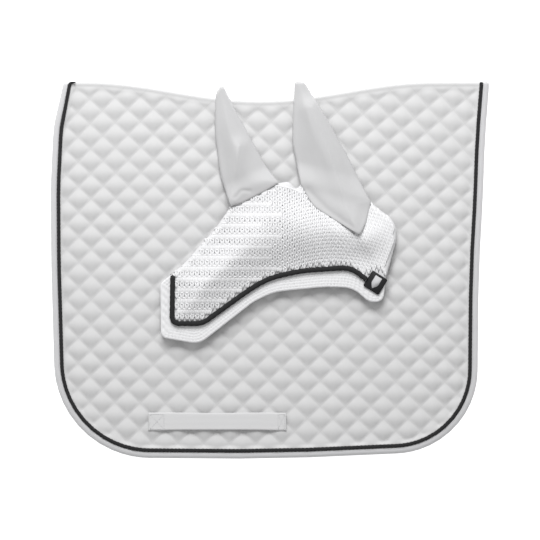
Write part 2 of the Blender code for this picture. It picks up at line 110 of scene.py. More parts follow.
def new_group(name: str, inputs: dict[str, str], output: str, *outputs: str) -> Tree:
    """Makes an empty shader node group with named sockets.

    Args:
        name: The group's name.
        inputs: Input name to its kind: Vector, Float or Color.
        output: The kind of the outputs.
        outputs: Output names.

    Returns:
        The node tree, with its group input and output nodes in place.
    """
    tree = bpy.data.node_groups.new(name, "ShaderNodeTree")
    for label, kind in inputs.items():
        tree.interface.new_socket(label, in_out="INPUT", socket_type=f"NodeSocket{kind}")
    for label in outputs:
        tree.interface.new_socket(label, in_out="OUTPUT", socket_type=f"NodeSocket{output}")
    tree.nodes.new("NodeGroupInput").name = "in"
    tree.nodes.new("NodeGroupOutput").name = "out"
    return tree


def feed(tree: Tree, node: bpy.types.Node, inputs: dict[Union[str, int], Feed]) -> None:
    """Wires or sets a node's inputs, each by its name or its place."""
    for place, value in inputs.items():
        if isinstance(value, Socket):
            tree.links.new(value, node.inputs[place])
        else:
            node.inputs[place].default_value = value


def add_node(
    tree: Tree, kind: str, inputs: dict[Union[str, int], Feed], **settings: Union[str, Tree]
) -> bpy.types.bpy_prop_collection:
    """Adds a node.

    Args:
        tree: The node tree.
        kind: Blender's name of the node, without ShaderNode.
        inputs: Input name or place to what goes in.
        settings: The node's own settings.

    Returns:
        The node's outputs.
    """
    node = tree.nodes.new(f"ShaderNode{kind}")
    for name, value in settings.items():
        setattr(node, name, value)
    feed(tree, node, inputs)
    return node.outputs


def math_node(tree: Tree, operation: str, *values: Feed) -> Socket:
    """Adds a Math node, with a socket or a number for each input, and gives its output."""
    return add_node(tree, "Math", dict(enumerate(values)), operation=operation)[0]


def waves(tree: Tree, vector: Socket, direction: str, period: float) -> Socket:
    """Adds a band wave texture of a given period.

    Args:
        tree: The node tree.
        vector: The coordinate socket.
        direction: X, Y or DIAGONAL.
        period: Distance between two bands in the coordinate's units.

    Returns:
        The factor socket, from 0 to 1.
    """
    inputs = {"Scale": math.tau / (20 * period), "Vector": vector}
    return add_node(tree, "TexWave", inputs, bands_direction=direction)["Fac"]


def tone_group() -> Tree:
    """Builds the group that lets a colour drift towards its shade over the cloth."""
    inputs = {"Vector": "Vector", "Scale": "Float", "Amount": "Float", "Base": "Color", "Shade": "Color"}
    tree = new_group("cloth_tone", inputs, "Color", "Color")
    source = tree.nodes["in"].outputs
    noise = add_node(
        tree, "TexNoise", {"Detail": TONE_DETAIL, "Vector": source["Vector"], "Scale": source["Scale"]}
    )
    mask = math_node(tree, "MULTIPLY", noise["Fac"], source["Amount"])
    mixed = {"Factor": mask, "A": source["Base"], "B": source["Shade"]}
    feed(tree, tree.nodes["out"], {"Color": add_node(tree, "Mix", mixed, data_type="RGBA")["Result"]})
    return tree


def weave_group(kind: Weave) -> Tree:
    """Builds the group that gives a weave's height: crossed waves, or fuzz."""
    tree = new_group(f"weave_{kind.value}", {"Vector": "Vector"}, "Float", "Height")
    vector = tree.nodes["in"].outputs["Vector"]
    if kind in CROSSED:
        first, second = [waves(tree, vector, *bands) for bands in CROSSED[kind]]
        height = math_node(tree, "MULTIPLY", first, math_node(tree, "ADD", second, SECOND_BASE))
    else:
        scale, detail = FUZZY[kind]
        height = add_node(tree, "TexNoise", {"Scale": scale, "Detail": detail, "Vector": vector})["Fac"]
    if kind is Weave.BRAID:
        height = math_node(tree, "ADD", height, waves(tree, vector, "DIAGONAL", BRAID_TWIST))
    feed(tree, tree.nodes["out"], {"Height": height})
    return tree


def stitch_group() -> Tree:
    """Builds the group that reads the lattice and gives the mask of painted shade along the quilting lines
    and the quilting's thread.
    """
    inputs = {"Lattice": "Vector", "Width": "Float", "Count": "Float"}
    tree = new_group("quilt_stitches", inputs, "Float", "Painted_Shade", "Thread")
    source = tree.nodes["in"].outputs
    split = add_node(tree, "SeparateXYZ", {0: source["Lattice"]})
    painted_shades, threads = [], []
    for mine, other in (("X", "Y"), ("Y", "X")):
        off = math_node(tree, "PINGPONG", split[mine], 0.5)
        near_line = math_node(tree, "DIVIDE", off, source["Width"])
        line = math_node(tree, "SUBTRACT", 1.0, math_node(tree, "MINIMUM", near_line, 1.0))
        run = math_node(tree, "MULTIPLY", split[other], source["Count"])
        dash = math_node(tree, "LESS_THAN", math_node(tree, "FRACT", run), STITCH_SHARE)
        painted_shades.append(line)
        threads.append(math_node(tree, "MULTIPLY", line, dash))
    painted_shade, thread = math_node(tree, "MAXIMUM", *painted_shades), math_node(tree, "MAXIMUM", *threads)
    feed(tree, tree.nodes["out"], {"Painted_Shade": painted_shade, "Thread": thread})
    return tree


@dataclass(frozen=True)
class Finish:
    """One material: its colours, its gloss and the weave of its surface."""

    name: str
    colour: tuple[float, float, float]
    shade: tuple[float, float, float]
    weave: Weave
    roughness: float = 0.85
    sheen: float = 0.25
    amount: float = 0.35
    tone_scale: float = 9.0
    bump: float = 0.25
    depth: float = 0.0003
    quilted: bool = False
    map_name: Optional[str] = None
    thread_width: float = 0.022
    thread_count: float = 9.0
    # Painted shade along the quilting lines: how dark it is, as a share of the shade tone, and how strongly
    # it is mixed in.
    painted_shade_tone: float = 0.86
    painted_shade_amount: float = 0.45
    thread_lift: float = 1.2
    gloss: float = 0.3
    sheen_roughness: float = 0.5

    def build(self, groups: dict[str, Tree]) -> bpy.types.Material:
        """Makes the material.

        Args:
            groups: The shared node groups.

        Returns:
            The finished material.
        """
        made = bpy.data.materials.new(self.name)
        made.use_nodes = True
        tree = made.node_tree
        place = add_node(tree, "TexCoord", {})["Object"]
        drift = {"Vector": place, "Scale": self.tone_scale, "Amount": self.amount,
                 "Base": (*self.colour, 1.0), "Shade": (*self.shade, 1.0)}
        colour = add_node(tree, "Group", drift, node_tree=groups["tone"])["Color"]
        cloth = {"Vector": self.cloth_place(tree, place)}
        height = add_node(tree, "Group", cloth, node_tree=groups[self.weave.value])["Height"]
        if self.quilted:
            colour, height = self.add_quilting(tree, groups, colour, height)
        relief = {"Strength": self.bump, "Distance": self.depth, "Height": height}
        feed(tree, tree.nodes["Principled BSDF"], {
            "Base Color": colour,
            "Normal": add_node(tree, "Bump", relief)["Normal"],
            "Roughness": self.roughness,
            "Specular IOR Level": self.gloss,
            "Sheen Weight": self.sheen,
            "Sheen Roughness": self.sheen_roughness,
        })
        return made

    def cloth_place(self, tree: Tree, place: Socket) -> Socket:
        """The coordinate that the weave follows: the piece's own map, or its place."""
        if self.map_name is None:
            return place
        return add_node(tree, "UVMap", {}, uv_map=self.map_name)["UV"]

    def add_quilting(
        self, tree: Tree, groups: dict[str, Tree], colour: Socket, height: Socket
    ) -> tuple[Socket, Socket]:
        """Adds the quilting thread to a panel's height, and painted shade along the quilting lines to its
        colour.

        Args:
            tree: The material's node tree.
            groups: The shared node groups.
            colour: The colour socket so far.
            height: The height socket so far.

        Returns:
            The new colour and height sockets.
        """
        lattice = add_node(tree, "UVMap", {}, uv_map=QUILT_MAP)["UV"]
        sewn = {"Lattice": lattice, "Width": self.thread_width, "Count": self.thread_count}
        thread = add_node(tree, "Group", sewn, node_tree=groups["stitches"])
        # Painted shade: the colour is darkened along the quilting lines, standing in for the shade in the
        # stitched valleys.
        painted_shade = math_node(tree, "MULTIPLY", thread["Painted_Shade"], self.painted_shade_amount)
        dark = (*(self.painted_shade_tone * c for c in self.shade), 1.0)
        mixed = add_node(tree, "Mix", {"Factor": painted_shade, "A": colour, "B": dark}, data_type="RGBA")
        raised = math_node(tree, "MULTIPLY_ADD", thread["Thread"], self.thread_lift, height)
        return mixed["Result"], raised


# ---------------------------------------------------------------- mesh helpers


def round_corner(before: Vector, corner: Vector, after: Vector, radius: float) -> Plan:
    """Points of the arc that rounds one corner.

    Args:
        before: The corner before it.
        corner: The corner.
        after: The corner after it.
        radius: The arc's radius, cut down where it doesn't fit.

    Returns:
        The arc's points in order.
    """
    one = before - corner
    two = after - corner
    turn = math.pi - one.angle(two)
    if radius <= 0 or turn < 1e-4:
        return [corner.copy()]
    reach = min(radius * math.tan(turn / 2), 0.49 * one.length, 0.49 * two.length)
    fitted = reach / math.tan(turn / 2)
    start = corner + one.normalized() * reach
    end = corner + two.normalized() * reach
    inward = (one.normalized() + two.normalized()).normalized()
    middle = corner + inward * (fitted / math.cos(turn / 2))
    count = max(1, math.ceil(turn / ARC_STEP))
    arc = []
    for i in range(count + 1):
        across = start.lerp(end, i / count) - middle
        arc.append(middle + across.normalized() * fitted)
    return arc


def rounded_path(corners: Sequence[Corner]) -> Plan:
    """Plan points of an open path through rounded corners, each x, y and radius."""
    places = [Vector((x, y)) for x, y, _ in corners]
    points = [places[0].copy()]
    for i in range(1, len(corners) - 1):
        points += round_corner(places[i - 1], places[i], places[i + 1], corners[i][2])
    return points + [places[-1].copy()]


def lefts(points: Plan) -> Plan:
    """Directions to the left of an open path at its points."""
    runs = [(b - a).normalized() for a, b in zip(points, points[1:])]
    return [Vector((-into.y - out.y, into.x + out.x)).normalized()
            for into, out in zip(runs[:1] + runs, runs + runs[-1:])]


def runs_along(points: Plan) -> list[float]:
    """How far along a path each of its points lies."""
    runs = [0.0]
    for a, b in zip(points, points[1:]):
        runs.append(runs[-1] + (b - a).length)
    return runs


def offset_path(points: Plan, distance: float) -> Plan:
    """An open path moved to its left by a distance, with mitred corners."""
    moved = []
    for i, (point, left) in enumerate(zip(points, lefts(points))):
        into = (points[max(i, 1)] - points[max(i, 1) - 1]).normalized()
        mitre = max(left.dot(Vector((-into.y, into.x))), 0.5)
        moved.append(point + left * distance / mitre)
    return moved


def even_path(points: Plan, step: float) -> Plan:
    """The same path with points an even step apart."""
    lengths = runs_along(points)
    count = max(2, round(lengths[-1] / step))
    wanted = np.linspace(0.0, lengths[-1], count + 1)
    x = np.interp(wanted, lengths, [p.x for p in points])
    y = np.interp(wanted, lengths, [p.y for p in points])
    return [Vector((float(a), float(b))) for a, b in zip(x, y)]


def distances(points: np.ndarray, line: Plan, closed: bool = False) -> np.ndarray:
    """Least plan distance from each point to a path.

    Args:
        points: Plan points, one a row.
        line: The path.
        closed: Whether its end joins its start.

    Returns:
        One distance for each point.
    """
    path = np.array([(p.x, p.y) for p in line])
    start = path if closed else path[:-1]
    end = np.roll(path, -1, axis=0) if closed else path[1:]
    least = np.full(len(points), np.inf)
    for a, b in zip(start, end):
        run = b - a
        share = np.clip(((points - a) @ run) / max(run @ run, 1e-12), 0, 1)
        gap = points - a - share[:, None] * run
        least = np.minimum(least, np.hypot(gap[:, 0], gap[:, 1]))
    return least


def inside(points: np.ndarray, outline: Plan) -> np.ndarray:
    """Whether each plan point lies inside a closed outline."""
    found = np.zeros(len(points), bool)
    x, y = points[:, 0], points[:, 1]
    for a, b in zip(outline, outline[1:] + outline[:1]):
        if a.y == b.y:
            continue
        spans = (a.y > y) != (b.y > y)
        found ^= spans & (x < a.x + (b.x - a.x) * (y - a.y) / (b.y - a.y))
    return found


def smooth_step(value: Values) -> Values:
    """Eases a share from 0 to 1."""
    share = np.clip(value, 0.0, 1.0)
    return share * share * (3 - 2 * share)


def rounded(share: Values) -> Values:
    """Height of a quarter circle, from 0 at its edge to 1."""
    return np.sqrt(1 - (1 - np.clip(share, 0, 1)) ** 2)


def ripple(x: Values, y: Values, size: float, seed: float) -> Values:
    """A gentle unevenness of cloth, from -1 to 1, that repeats nowhere near."""
    a = np.sin(x / size + seed) * np.cos(y / (0.83 * size) - 1.7 * seed)
    b = np.sin((x + 0.7 * y) / (0.61 * size) + 2.3 * seed)
    return 0.5 * (a + b)


def finished(name: str, built: Mesh, material: bpy.types.Material, recalculate: bool = True) -> Piece:
    """Makes a smooth-shaded object of a bmesh.

    Args:
        name: The piece's name.
        built: The mesh, which is freed.
        material: Its finish.
        recalculate: Whether the faces are turned outwards first.

    Returns:
        The object, at the origin.
    """
    if recalculate:
        bmesh.ops.recalc_face_normals(built, faces=built.faces)
    mesh = bpy.data.meshes.new(name)
    built.to_mesh(mesh)
    built.free()
    mesh.materials.append(material)
    mesh.shade_smooth()
    made = bpy.data.objects.new(name, mesh)
    bpy.context.scene.collection.objects.link(made)
    LOG.info("%s: %d faces", name, len(mesh.polygons))
    return made


def settle(made: Piece, body: Optional[str], slot: str, *nodes: str) -> None:
    """Hides the nodes that a piece stands for and attaches the piece to the body it rides on."""
    if nodes:
        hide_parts(*nodes)
    if body:
        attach(made, body)


def sweep(built: Mesh, path: Plan, section: Callable[[float], Section]) -> None:
    """Carries a closed section along an open plan path and closes its ends.

    Args:
        built: The bmesh that receives it.
        path: The plan path.
        section: From the run along the path, gives points of distance to the left and height.
    """
    maps = built.loops.layers.uv.get(RUN_MAP) or built.loops.layers.uv.new(RUN_MAP)
    runs = runs_along(path)
    rings = []
    for point, left, run in zip(path, lefts(path), runs):
        rings.append([built.verts.new((*(point + left * d), z)) for d, z in section(run)])
    first = section(0.0)
    around = [0.0]
    for a, b in zip(first, first[1:] + first[:1]):
        around.append(around[-1] + math.dist(a, b))
    count = len(first)
    for i, (ring, following) in enumerate(zip(rings, rings[1:])):
        for j in range(count):
            k = (j + 1) % count
            face = built.faces.new((ring[j], ring[k], following[k], following[j]))
            spots = ((runs[i], around[j]), (runs[i], around[j + 1]),
                     (runs[i + 1], around[j + 1]), (runs[i + 1], around[j]))
            for loop, spot in zip(face.loops, spots):
                loop[maps].uv = spot
    for end in (rings[0], rings[-1]):
        built.faces.new(end)


def add_stitch(built: Mesh, start: Vector, end: Vector, width: float, height: float) -> None:
    """Adds one sewn stitch: a short lozenge of thread, high in its middle.

    Args:
        built: The bmesh that receives it.
        start: One end, on the cloth.
        end: The other end.
        width: Its width.
        height: How far it stands up.
    """
    along = (end - start).normalized()
    left = Vector((-along.y, along.x, 0.0)) * width / 2
    lift = Vector((0.0, 0.0, height))
    third = (end - start) / 3
    rows = []
    for share in (1, 2):
        at = start + third * share
        rows.append([built.verts.new(at - left), built.verts.new(at + lift), built.verts.new(at + left)])
    tips = (built.verts.new(start), built.verts.new(end))
    for a, b in ((0, 1), (1, 2)):
        built.faces.new((rows[0][a], rows[0][b], rows[1][b], rows[1][a]))
        built.faces.new((tips[0], rows[0][b], rows[0][a]))
        built.faces.new((tips[1], rows[1][a], rows[1][b]))
    built.faces.new((rows[0][0], rows[1][0], rows[1][2], rows[0][2]))
    built.faces.new((tips[0], rows[0][0], rows[0][2]))
    built.faces.new((tips[1], rows[1][2], rows[1][0]))


@dataclass(frozen=True)
class Seam:
    """Sizes of a sewn row: a stitch's length, the gap after it and its width."""

    length: float
    gap: float
    width: float = 0.0006


RIM_SEAM = Seam(0.0030, 0.0012)
BOX_SEAM = Seam(0.0026, 0.0010)


def stitch_row(built: Mesh, path: Plan, height: Callable[[Vector], float], seam: Seam) -> None:
    """Adds a row of sewn stitches along a plan path.

    Args:
        built: The bmesh that receives them.
        path: The path.
        height: Gives the cloth's height at a plan point.
        seam: The sizes of the stitches.
    """
    even = even_path(path, seam.length + seam.gap)
    share = seam.length / (seam.length + seam.gap)
    for a, b in zip(even, even[1:]):
        stop = a.lerp(b, share)
        ends = [Vector((spot.x, spot.y, height(spot))) for spot in (a, stop)]
        add_stitch(built, *ends, seam.width, STITCH_RISE * seam.width)


def add_strand(built: Mesh, points: Sequence[Vector], radius: float, sides: int = 5) -> None:
    """Adds a strand of yarn through points: thin at its ends, full in its middle.

    Args:
        built: The bmesh that receives it.
        points: The places it goes through.
        radius: Its radius in the middle.
        sides: How many faces go round it.
    """
    rings = []
    last = len(points) - 1
    for i, point in enumerate(points):
        along = (points[min(i + 1, last)] - points[max(i - 1, 0)]).normalized()
        left = along.cross(Vector((0.0, 0.0, 1.0))).normalized()
        up = left.cross(along)
        swell = math.sin(math.pi * (i + STRAND_EASE) / (last + 2 * STRAND_EASE))
        full = radius * (STRAND_END + (1 - STRAND_END) * swell)
        turns = [math.tau * j / sides for j in range(sides)]
        rings.append([built.verts.new(point + full * (left * math.cos(t) + up * math.sin(t))) for t in turns])
    for ring, following in zip(rings, rings[1:]):
        for j in range(sides):
            k = (j + 1) % sides
            built.faces.new((ring[j], ring[k], following[k], following[j]))
    built.faces.new(rings[0][::-1])
    built.faces.new(rings[-1])


def trimmed_grid(
    place: Lattice, outline: Plan, low: tuple[float, float], high: tuple[float, float],
    cells: tuple[int, int],
) -> Mesh:
    """A flat grid laid out on a lattice, cut to an outline.

    Args:
        place: Gives plan places of lattice counts.
        outline: The closed outline.
        low: Least lattice counts.
        high: Greatest lattice counts.
        cells: Faces per lattice unit in both directions.

    Returns:
        A bmesh whose outer points lie on the outline.
    """
    built = bmesh.new()
    counts = [round((high[i] - low[i]) * cells[i]) for i in (0, 1)]
    bmesh.ops.create_grid(built, x_segments=counts[0], y_segments=counts[1], size=0.5)
    share = np.array([v.co[:2] for v in built.verts]) + 0.5
    x, y = place(low[0] + share[:, 0] * (high[0] - low[0]), low[1] + share[:, 1] * (high[1] - low[1]))
    held = inside(np.column_stack((x, y)), outline)
    for vert, u, v in zip(built.verts, x, y):
        vert.co = (u, v, 0.0)
    within = dict(zip(built.verts, held))
    outer = [f for f in built.faces if not any(within[v] for v in f.verts)]
    bmesh.ops.delete(built, geom=outer, context="FACES")
    path = np.array([(p.x, p.y) for p in outline])
    run = np.roll(path, -1, axis=0) - path
    length = np.maximum((run * run).sum(axis=1), 1e-12)
    for vert in built.verts:
        if within[vert]:
            continue
        along = np.clip(((np.array(vert.co[:2]) - path) * run).sum(axis=1) / length, 0, 1)
        near = path + along[:, None] * run
        best = np.argmin(((near - vert.co[:2]) ** 2).sum(axis=1))
        vert.co.x, vert.co.y = near[best]
    bmesh.ops.remove_doubles(built, verts=built.verts, dist=0.00004)
    return built


def close_below(built: Mesh, back: float) -> None:
    """Adds the side wall and the plain face that close a sheet at a height."""
    rim = [e for e in built.edges if e.is_boundary]
    grown = bmesh.ops.extrude_edge_only(built, edges=rim)["geom"]
    for vert in (g for g in grown if isinstance(g, bmesh.types.BMVert)):
        vert.co.z = back
    edge = [g for g in grown if isinstance(g, bmesh.types.BMEdge) and g.is_boundary]
    bmesh.ops.holes_fill(built, edges=edge, sides=0)


def thicken(built: Mesh, thickness: float) -> None:
    """Makes a shell of a sheet: a second layer below it, joined to it along every open edge."""
    bmesh.ops.recalc_face_normals(built, faces=built.faces)
    if sum(f.normal.z * f.calc_area() for f in built.faces) < 0:
        bmesh.ops.reverse_faces(built, faces=built.faces)
    built.normal_update()
    sheet = list(built.faces)
    rims = []
    for edge in built.edges:
        if edge.is_boundary:
            loop = edge.link_loops[0]
            rims.append((loop.vert, loop.link_loop_next.vert))
    under = {v: built.verts.new(v.co - v.normal * thickness) for v in list(built.verts)}
    for face in sheet:
        built.faces.new([under[v] for v in reversed(face.verts)])
    for start, end in rims:
        built.faces.new((end, start, under[start], under[end]))


def plan_places(built: Mesh) -> Values:
    """Plan places of a bmesh's points, one a row."""
    return np.array([v.co[:2] for v in built.verts])


def square_grid(outline: Plan, cells: int) -> Mesh:
    """A flat grid of even squares, cut to an outline, with so many faces a metre."""
    low = (min(p.x for p in outline), min(p.y for p in outline))
    high = (max(p.x for p in outline), max(p.y for p in outline))
    return trimmed_grid(lambda u, v: (u, v), outline, low, high, (cells, cells))


def set_heights(built: Mesh, heights: Values) -> None:
    """Lifts a bmesh's points to their heights."""
    for vert, height in zip(built.verts, heights):
        vert.co.z = height


# ---------------------------------------------------------------- sizes shared by the pieces


@dataclass(frozen=True)
class Levels:
    """Heights of the folded set, from the floor."""

    fold: float = 0.0133
    pad_top: float = 0.0250
    valley: float = 0.0216
    wadding_base: float = 0.0168
    lining_top: float = 0.0163
    lining_base: float = 0.0153
    near_knit: float = 0.0376
    ear_base: float = 0.0260
    bonnet_middle: float = 0.0324

    def flipped(self, height: Values) -> Values:
        """The same height seen on the other flap, mirrored at the fold."""
        return 2 * self.fold - height


LEVELS = Levels()


@dataclass(frozen=True)
class PadShape:
    """Plan of one flap of the saddle pad."""

    length: float = 0.659
    drop: float = 0.567
    front_radius: float = 0.145
    rear_radius: float = 0.127
    dip: float = 0.0285
    dip_half: float = 0.262
    dip_place: float = -0.015
    rim_end: float = 0.003

    def spine_height(self, x: float) -> float:
        """Plan height of the spine edge, which dips behind the withers."""
        along = (x - self.dip_place) / self.dip_half
        if abs(along) >= 1:
            return self.drop / 2
        return self.drop / 2 - self.dip * math.cos(along * math.pi / 2) ** 2

    def rim(self) -> Plan:
        """Outer edge down the front, along the bottom and up the rear."""
        half = self.length / 2
        low = self.drop / 2
        top = low - self.rim_end
        return rounded_path((
            (-half + 0.0190, top, 0.0),
            (-half + 0.0040, low * 0.76, 0.160),
            (-half - 0.0002, low * 0.44, 0.500),
            (-half + 0.0006, low * 0.04, 1.500),
            (-half + 0.0090, -low + 0.0020, self.front_radius),
            (half * 0.02, -low - 0.0004, 2.000),
            (half - 0.0185, -low + 0.0130, self.rear_radius),
            (half - 0.0160, -low * 0.02, 1.500),
            (half - 0.0100, low * 0.36, 1.500),
            (half - 0.0065, low * 0.70, 1.000),
            (half, top, 0.0),
        ))

    def spine(self, start: float, end: float, steps: int = 40) -> Plan:
        """Points of the spine edge between two places along the back."""
        spots = [start + (end - start) * i / steps for i in range(steps + 1)]
        return [Vector((x, self.spine_height(x))) for x in spots]

    def outline(self, inset: float) -> Plan:
        """Closed outline of a layer: the rim, set in, and the spine edge."""
        rim = offset_path(self.rim(), inset)
        rim = [p for p in rim if p.y <= self.spine_height(p.x) - self.rim_end / 2]
        return rim + self.spine(rim[-1].x, rim[0].x)


SHAPE = PadShape()


@dataclass(frozen=True)
class Quilting:
    """The diamond lattice: rows of stitching counted in its two directions, per metre."""

    rising: tuple[float, float] = (26.6, 25.6)
    falling: tuple[float, float] = (25.0, -26.0)
    drift: tuple[float, float] = (-1.1, -2.4)
    rising_pull: tuple[float, float, float] = (5.7, 9.2, -10.6)
    falling_pull: tuple[float, float, float] = (7.0, -14.0, -1.0)
    bow: tuple[float, float] = (1.9, -0.7)
    rising_start: float = 0.29
    falling_start: float = 0.75
    reach: int = 18
    corrections: int = 14
    roundness: float = 1.9

    def rows(self, x: Values, y: Values) -> tuple[Values, Values]:
        """Counts of both directions' rows at plan places; the cloth pulls them askew at its ends."""
        first = self.rising_start + self.rising[0] * x + self.rising[1] * y
        first = first + self.bow[0] * x * x + self.bow[1] * y * y
        second = self.falling_start + self.falling[0] * x + self.falling[1] * y
        second = second + self.drift[0] * x * x + self.drift[1] * x * y
        terms = (x * x * x, x * x * y, x * y * y)
        for rising, falling, term in zip(self.rising_pull, self.falling_pull, terms):
            first = first + rising * term
            second = second + falling * term
        return first, second

    def place(self, first: Values, second: Values) -> tuple[Values, Values]:
        """Plan places of given row counts, by a few corrections of the even lattice."""
        a, b = self.rising
        c, d = self.falling
        whole = a * d - b * c
        x = np.zeros_like(first)
        y = np.zeros_like(first)
        for _ in range(self.corrections):
            got_first, got_second = self.rows(x, y)
            off_first, off_second = first - got_first, second - got_second
            x = x + (d * off_first - b * off_second) / whole
            y = y + (a * off_second - c * off_first) / whole
        return x, y

    def puff(self, x: Values, y: Values) -> Values:
        """Fullness of the wadding between the stitching, from 0 on a row to 1."""
        first, second = self.rows(x, y)
        across = np.abs(2 * (first % 1) - 1)
        along = np.abs(2 * (second % 1) - 1)
        return (1 - across ** self.roundness) * (1 - along ** self.roundness)


QUILTING = Quilting()


# ---------------------------------------------------------------- the saddle pad


@dataclass
class QuiltedLayer:
    """A layer of a flap, quilted on one face and plain on the other."""

    name: str
    cells: int
    inset: float = 0.0017

    def build(
        self, face: Callable[[Values], Values], back: float, flip: bool, material: bpy.types.Material
    ) -> Piece:
        """Builds the layer on the lattice of its quilting.

        Args:
            face: Gives the quilted face's heights at plan places.
            back: Height of the plain face.
            flip: Whether the layer belongs to the far flap.
            material: Its finish.

        Returns:
            The closed piece, with the lattice as its map.
        """
        reach = float(QUILTING.reach)
        built = trimmed_grid(
            QUILTING.place, SHAPE.outline(self.inset), (-reach, -reach), (reach, reach),
            (self.cells, self.cells),
        )
        heights = face(plan_places(built))
        set_heights(built, LEVELS.flipped(heights) if flip else heights)
        close_below(built, LEVELS.flipped(back) if flip else back)
        made = finished(self.name, built, material)
        self.add_lattice(made.data)
        return made

    @staticmethod
    def add_lattice(mesh: bpy.types.Mesh) -> None:
        """Gives a layer its lattice as a map, from its points' plan places."""
        spots = np.empty(3 * len(mesh.vertices))
        mesh.vertices.foreach_get("co", spots)
        spots = spots.reshape(-1, 3)
        first, second = QUILTING.rows(spots[:, 0], spots[:, 1])
        corner = np.empty(len(mesh.loops), dtype=np.int32)
        mesh.loops.foreach_get("vertex_index", corner)
        layer = mesh.uv_layers.new(name=QUILT_MAP)
        layer.data.foreach_set("uv", np.column_stack((first[corner], second[corner])).ravel())


@dataclass(frozen=True)
class Cord:
    """A laid cord, whose strands show as lobes that turn along it."""

    width: float
    spots: int
    strands: int
    swell: float
    lay: float
    body: float

    def section(self, run: float, centre: float, middle: float, tall: float, taper: float = 1.0) -> Section:
        """Points of the cord's section.

        Args:
            run: How far along the cord it is.
            centre: The middle's distance to the left.
            middle: The middle's height.
            tall: How tall the cord is.
            taper: Its share of the full size.

        Returns:
            Points of distance to the left and height.
        """
        shape = []
        for spot in range(self.spots):
            turn = math.tau * spot / self.spots
            lobe = taper * (1 + self.swell * math.cos(self.strands * turn - math.tau * run / self.lay))
            across = centre + lobe * self.width / 2 * self.body * math.cos(turn)
            shape.append((across, middle + min(lobe, 1.0) * tall / 2 * math.sin(turn)))
        return shape


PIPING = Cord(width=0.0055, spots=14, strands=2, swell=0.07, lay=0.0058, body=0.94)
TRIM = Cord(width=0.0078, spots=16, strands=3, swell=0.05, lay=0.0090, body=0.96)


